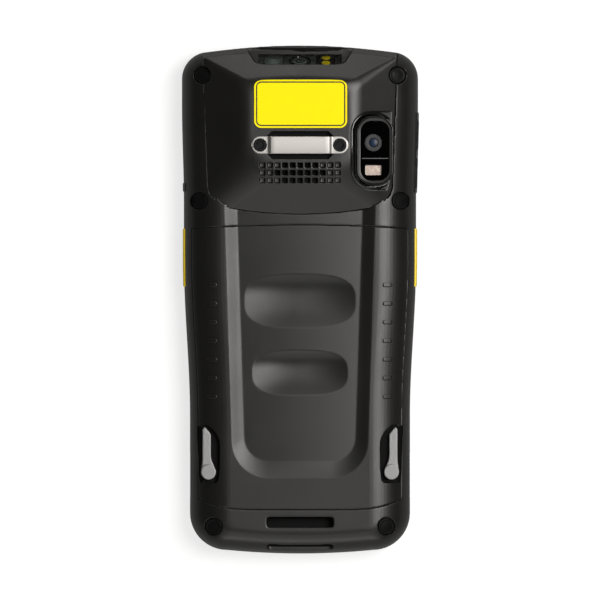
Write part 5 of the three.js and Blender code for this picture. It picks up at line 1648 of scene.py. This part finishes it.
def insides():
    """Finishes for the CAD nodes that stay as they are."""
    for node, name, edge in (
        ("display_module", "black_steel", 0.2), ("main_board", "circuit_board", 0.05),
        ("keypad_membrane", "black_rubber", 0.2), ("speaker", "deep_black", 0.2),
        ("battery_pack", "battery_wrap", 0.6), ("battery_contacts", "contact_gold", 0.1),
        ("battery_seal", "black_rubber", 0.15), ("dock_connector", "black_plastic", 0.1),
    ):
        finish_node(node, finish(name), edge * MM)
    low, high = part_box("dock_connector")
    strips = []
    for i in range(CONTACT_COUNT):
        x = (i - (CONTACT_COUNT - 1) / 2) * CONTACT_PITCH
        strips.append(box("contact", x - CONTACT_HALF, x + CONTACT_HALF, low.y - 0.12 * MM, low.y + 0.5 * MM,
                          low.z + CONTACT_INSET, high.z - CONTACT_INSET))
    contacts = merged("dock_contacts", *strips)
    bevel(contacts, 0.08 * MM, 2)
    dress(contacts, finish("contact_gold"), "housing", "contact_gold")


# Each lamp's lean across and along in degrees, its size in metres and its power in watts
LAMPS = {
    "key_light": (22.5, 10, (0.7, 0.9), 27),
    "head_light": (2, 72, (1.6, 0.5), 8.5),
    "tail_light": (0, -47, (1.6, 1.4), 8),
    "rim_light": (0, -74, (1.6, 0.4), 6),
}


def softbox(name, across, along, size, power):
    """A rectangular lamp that faces the object, leaning from straight above by two angles in degrees."""
    view = sizes("stage")
    data = bpy.data.lights.new(name, "AREA")
    data.shape = "RECTANGLE"
    data.size, data.size_y = size
    data.energy = power
    data.color = view.lamp_tint
    lamp = bpy.data.objects.new(name, data)
    bpy.context.scene.collection.objects.link(lamp)
    lean = Vector((math.tan(math.radians(across)), math.tan(math.radians(along)), 1)).normalized()
    lamp.location = lean * view.lamp_distance
    lamp.rotation_euler = (-lean).to_track_quat("-Z", "Y").to_euler()


def floor_finish():
    """A pale floor that looks white to the camera and keeps the object's shadow."""
    paint = Paint("pale_floor")
    where = paint.where()
    speck = paint.noise(where, 4, 3.0)
    seen = paint.node("ShaderNodeLightPath", {}, output="Is Camera Ray")
    diffuse = paint.node("ShaderNodeBsdfDiffuse", {}, paint.scaled((0.35, 0.35, 0.35), 0.99 + 0.02 * speck))
    glow = paint.node("ShaderNodeEmission", {}, (1, 1, 1), 0.72 * seen)
    return paint.finish(paint.node("ShaderNodeAddShader", {}, diffuse, glow))


def stage():
    scene = bpy.context.scene
    view = sizes("stage")
    scene.view_settings.view_transform = "Standard"
    floor = new_object("floor", level(rectangle(-3, 3, -3, 3), 0), [(0, 1, 2, 3)])
    floor.data.materials.append(floor_finish())
    world = bpy.data.worlds.new("studio")
    scene.world = world
    world.use_nodes = True
    ground = world.node_tree.nodes["Background"]
    ground.inputs["Color"].default_value = (1.0, 0.995, 0.985, 1)
    ground.inputs["Strength"].default_value = view.world
    for name, settings in LAMPS.items():
        softbox(name, *settings)
    lens = bpy.data.cameras.new("photo_camera")
    lens.lens, lens.sensor_width = view.lens, view.sensor
    lens.clip_start, lens.clip_end = 0.1, 30
    eye = bpy.data.objects.new("photo_camera", lens)
    scene.collection.objects.link(eye)
    reach = view.pixel * view.frame_pixels * view.lens / view.sensor
    eye.location = (0, -view.centre_down * view.pixel, reach + 10 * MM)
    scene.camera = eye


# The add-on

class TERMINAL_OT_stage(Operator):
    """Makes the floor, the lamps and the camera"""

    bl_idname = "terminal.stage"
    bl_label = "Stage"

    def execute(self, context):
        stage()
        return {"FINISHED"}


class TERMINAL_OT_front_housing(Operator):
    """Makes the front housing"""

    bl_idname = "terminal.front_housing"
    bl_label = "Front housing"

    def execute(self, context):
        front_housing()
        return {"FINISHED"}


class TERMINAL_OT_rear_housing(Operator):
    """Makes the rear housing"""

    bl_idname = "terminal.rear_housing"
    bl_label = "Rear housing"

    def execute(self, context):
        rear_housing()
        return {"FINISHED"}


class TERMINAL_OT_scan_hood(Operator):
    """Makes the raised hood and its plate"""

    bl_idname = "terminal.scan_hood"
    bl_label = "Scan hood"

    def execute(self, context):
        scan_hood()
        return {"FINISHED"}


class TERMINAL_OT_battery_cover(Operator):
    """Makes the cover with its grip ticks"""

    bl_idname = "terminal.battery_cover"
    bl_label = "Battery cover"

    def execute(self, context):
        battery_cover()
        return {"FINISHED"}


class TERMINAL_OT_latches(Operator):
    """Makes the two latches and the painted shade in their pockets"""

    bl_idname = "terminal.latches"
    bl_label = "Latches"

    def execute(self, context):
        for side in SIDES:
            latch_pocket_shade(side)
            latch(side)
        return {"FINISHED"}


class TERMINAL_OT_strap_bar(Operator):
    """Makes the strap bar and its screws"""

    bl_idname = "terminal.strap_bar"
    bl_label = "Strap bar"

    def execute(self, context):
        strap_bar()
        return {"FINISHED"}


class TERMINAL_OT_camera(Operator):
    """Makes the camera and its flash"""

    bl_idname = "terminal.camera"
    bl_label = "Camera"

    def execute(self, context):
        camera()
        return {"FINISHED"}


class TERMINAL_OT_scanner(Operator):
    """Makes the scan window and its optics"""

    bl_idname = "terminal.scanner"
    bl_label = "Scanner"

    def execute(self, context):
        scanner()
        return {"FINISHED"}


class TERMINAL_OT_fasteners(Operator):
    """Makes the screw plugs"""

    bl_idname = "terminal.fasteners"
    bl_label = "Fasteners"

    def execute(self, context):
        fasteners()
        return {"FINISHED"}


class TERMINAL_OT_side_controls(Operator):
    """Makes the triggers and volume buttons"""

    bl_idname = "terminal.side_controls"
    bl_label = "Side controls"

    def execute(self, context):
        side_controls()
        return {"FINISHED"}


class TERMINAL_OT_front_face(Operator):
    """Makes the display and the keypad"""

    bl_idname = "terminal.front_face"
    bl_label = "Front face"

    def execute(self, context):
        front_face()
        return {"FINISHED"}


class TERMINAL_OT_insides(Operator):
    """Finishes the parts inside"""

    bl_idname = "terminal.insides"
    bl_label = "Insides"

    def execute(self, context):
        insides()
        return {"FINISHED"}


STEPS = (
    TERMINAL_OT_stage,
    TERMINAL_OT_front_housing,
    TERMINAL_OT_rear_housing,
    TERMINAL_OT_scan_hood,
    TERMINAL_OT_battery_cover,
    TERMINAL_OT_latches,
    TERMINAL_OT_strap_bar,
    TERMINAL_OT_camera,
    TERMINAL_OT_scanner,
    TERMINAL_OT_fasteners,
    TERMINAL_OT_side_controls,
    TERMINAL_OT_front_face,
    TERMINAL_OT_insides,
)


class TERMINAL_PT_tools(Panel):
    """Lists the terminal's pieces in the sidebar"""

    bl_idname = "TERMINAL_PT_tools"
    bl_label = "Data terminal"
    bl_space_type = "VIEW_3D"
    bl_region_type = "UI"
    bl_category = "Terminal"

    def draw(self, context):
        for step in STEPS:
            self.layout.operator(step.bl_idname)


GROUPS = {
    "body": BodySizes, "hood": HoodSizes, "channel": ChannelSizes, "colours": Finishes, "stage": StageSizes,
}


def register():
    for group in GROUPS.values():
        bpy.utils.register_class(group)
    for step in STEPS:
        bpy.utils.register_class(step)
    bpy.utils.register_class(TERMINAL_PT_tools)
    for name, group in GROUPS.items():
        setattr(bpy.types.Scene, f"terminal_{name}", PointerProperty(type=group))


def unregister():
    for name in GROUPS:
        delattr(bpy.types.Scene, f"terminal_{name}")
    bpy.utils.unregister_class(TERMINAL_PT_tools)
    for step in reversed(STEPS):
        bpy.utils.unregister_class(step)
    for group in reversed(GROUPS.values()):
        bpy.utils.unregister_class(group)


def main():
    register()
    for step in STEPS:
        made = getattr(bpy.ops.terminal, step.bl_idname.split(".")[1])()
        if "FINISHED" not in made:
            raise RuntimeError(f"{step.bl_label} did not finish")


if __name__ == "__main__":
    main()
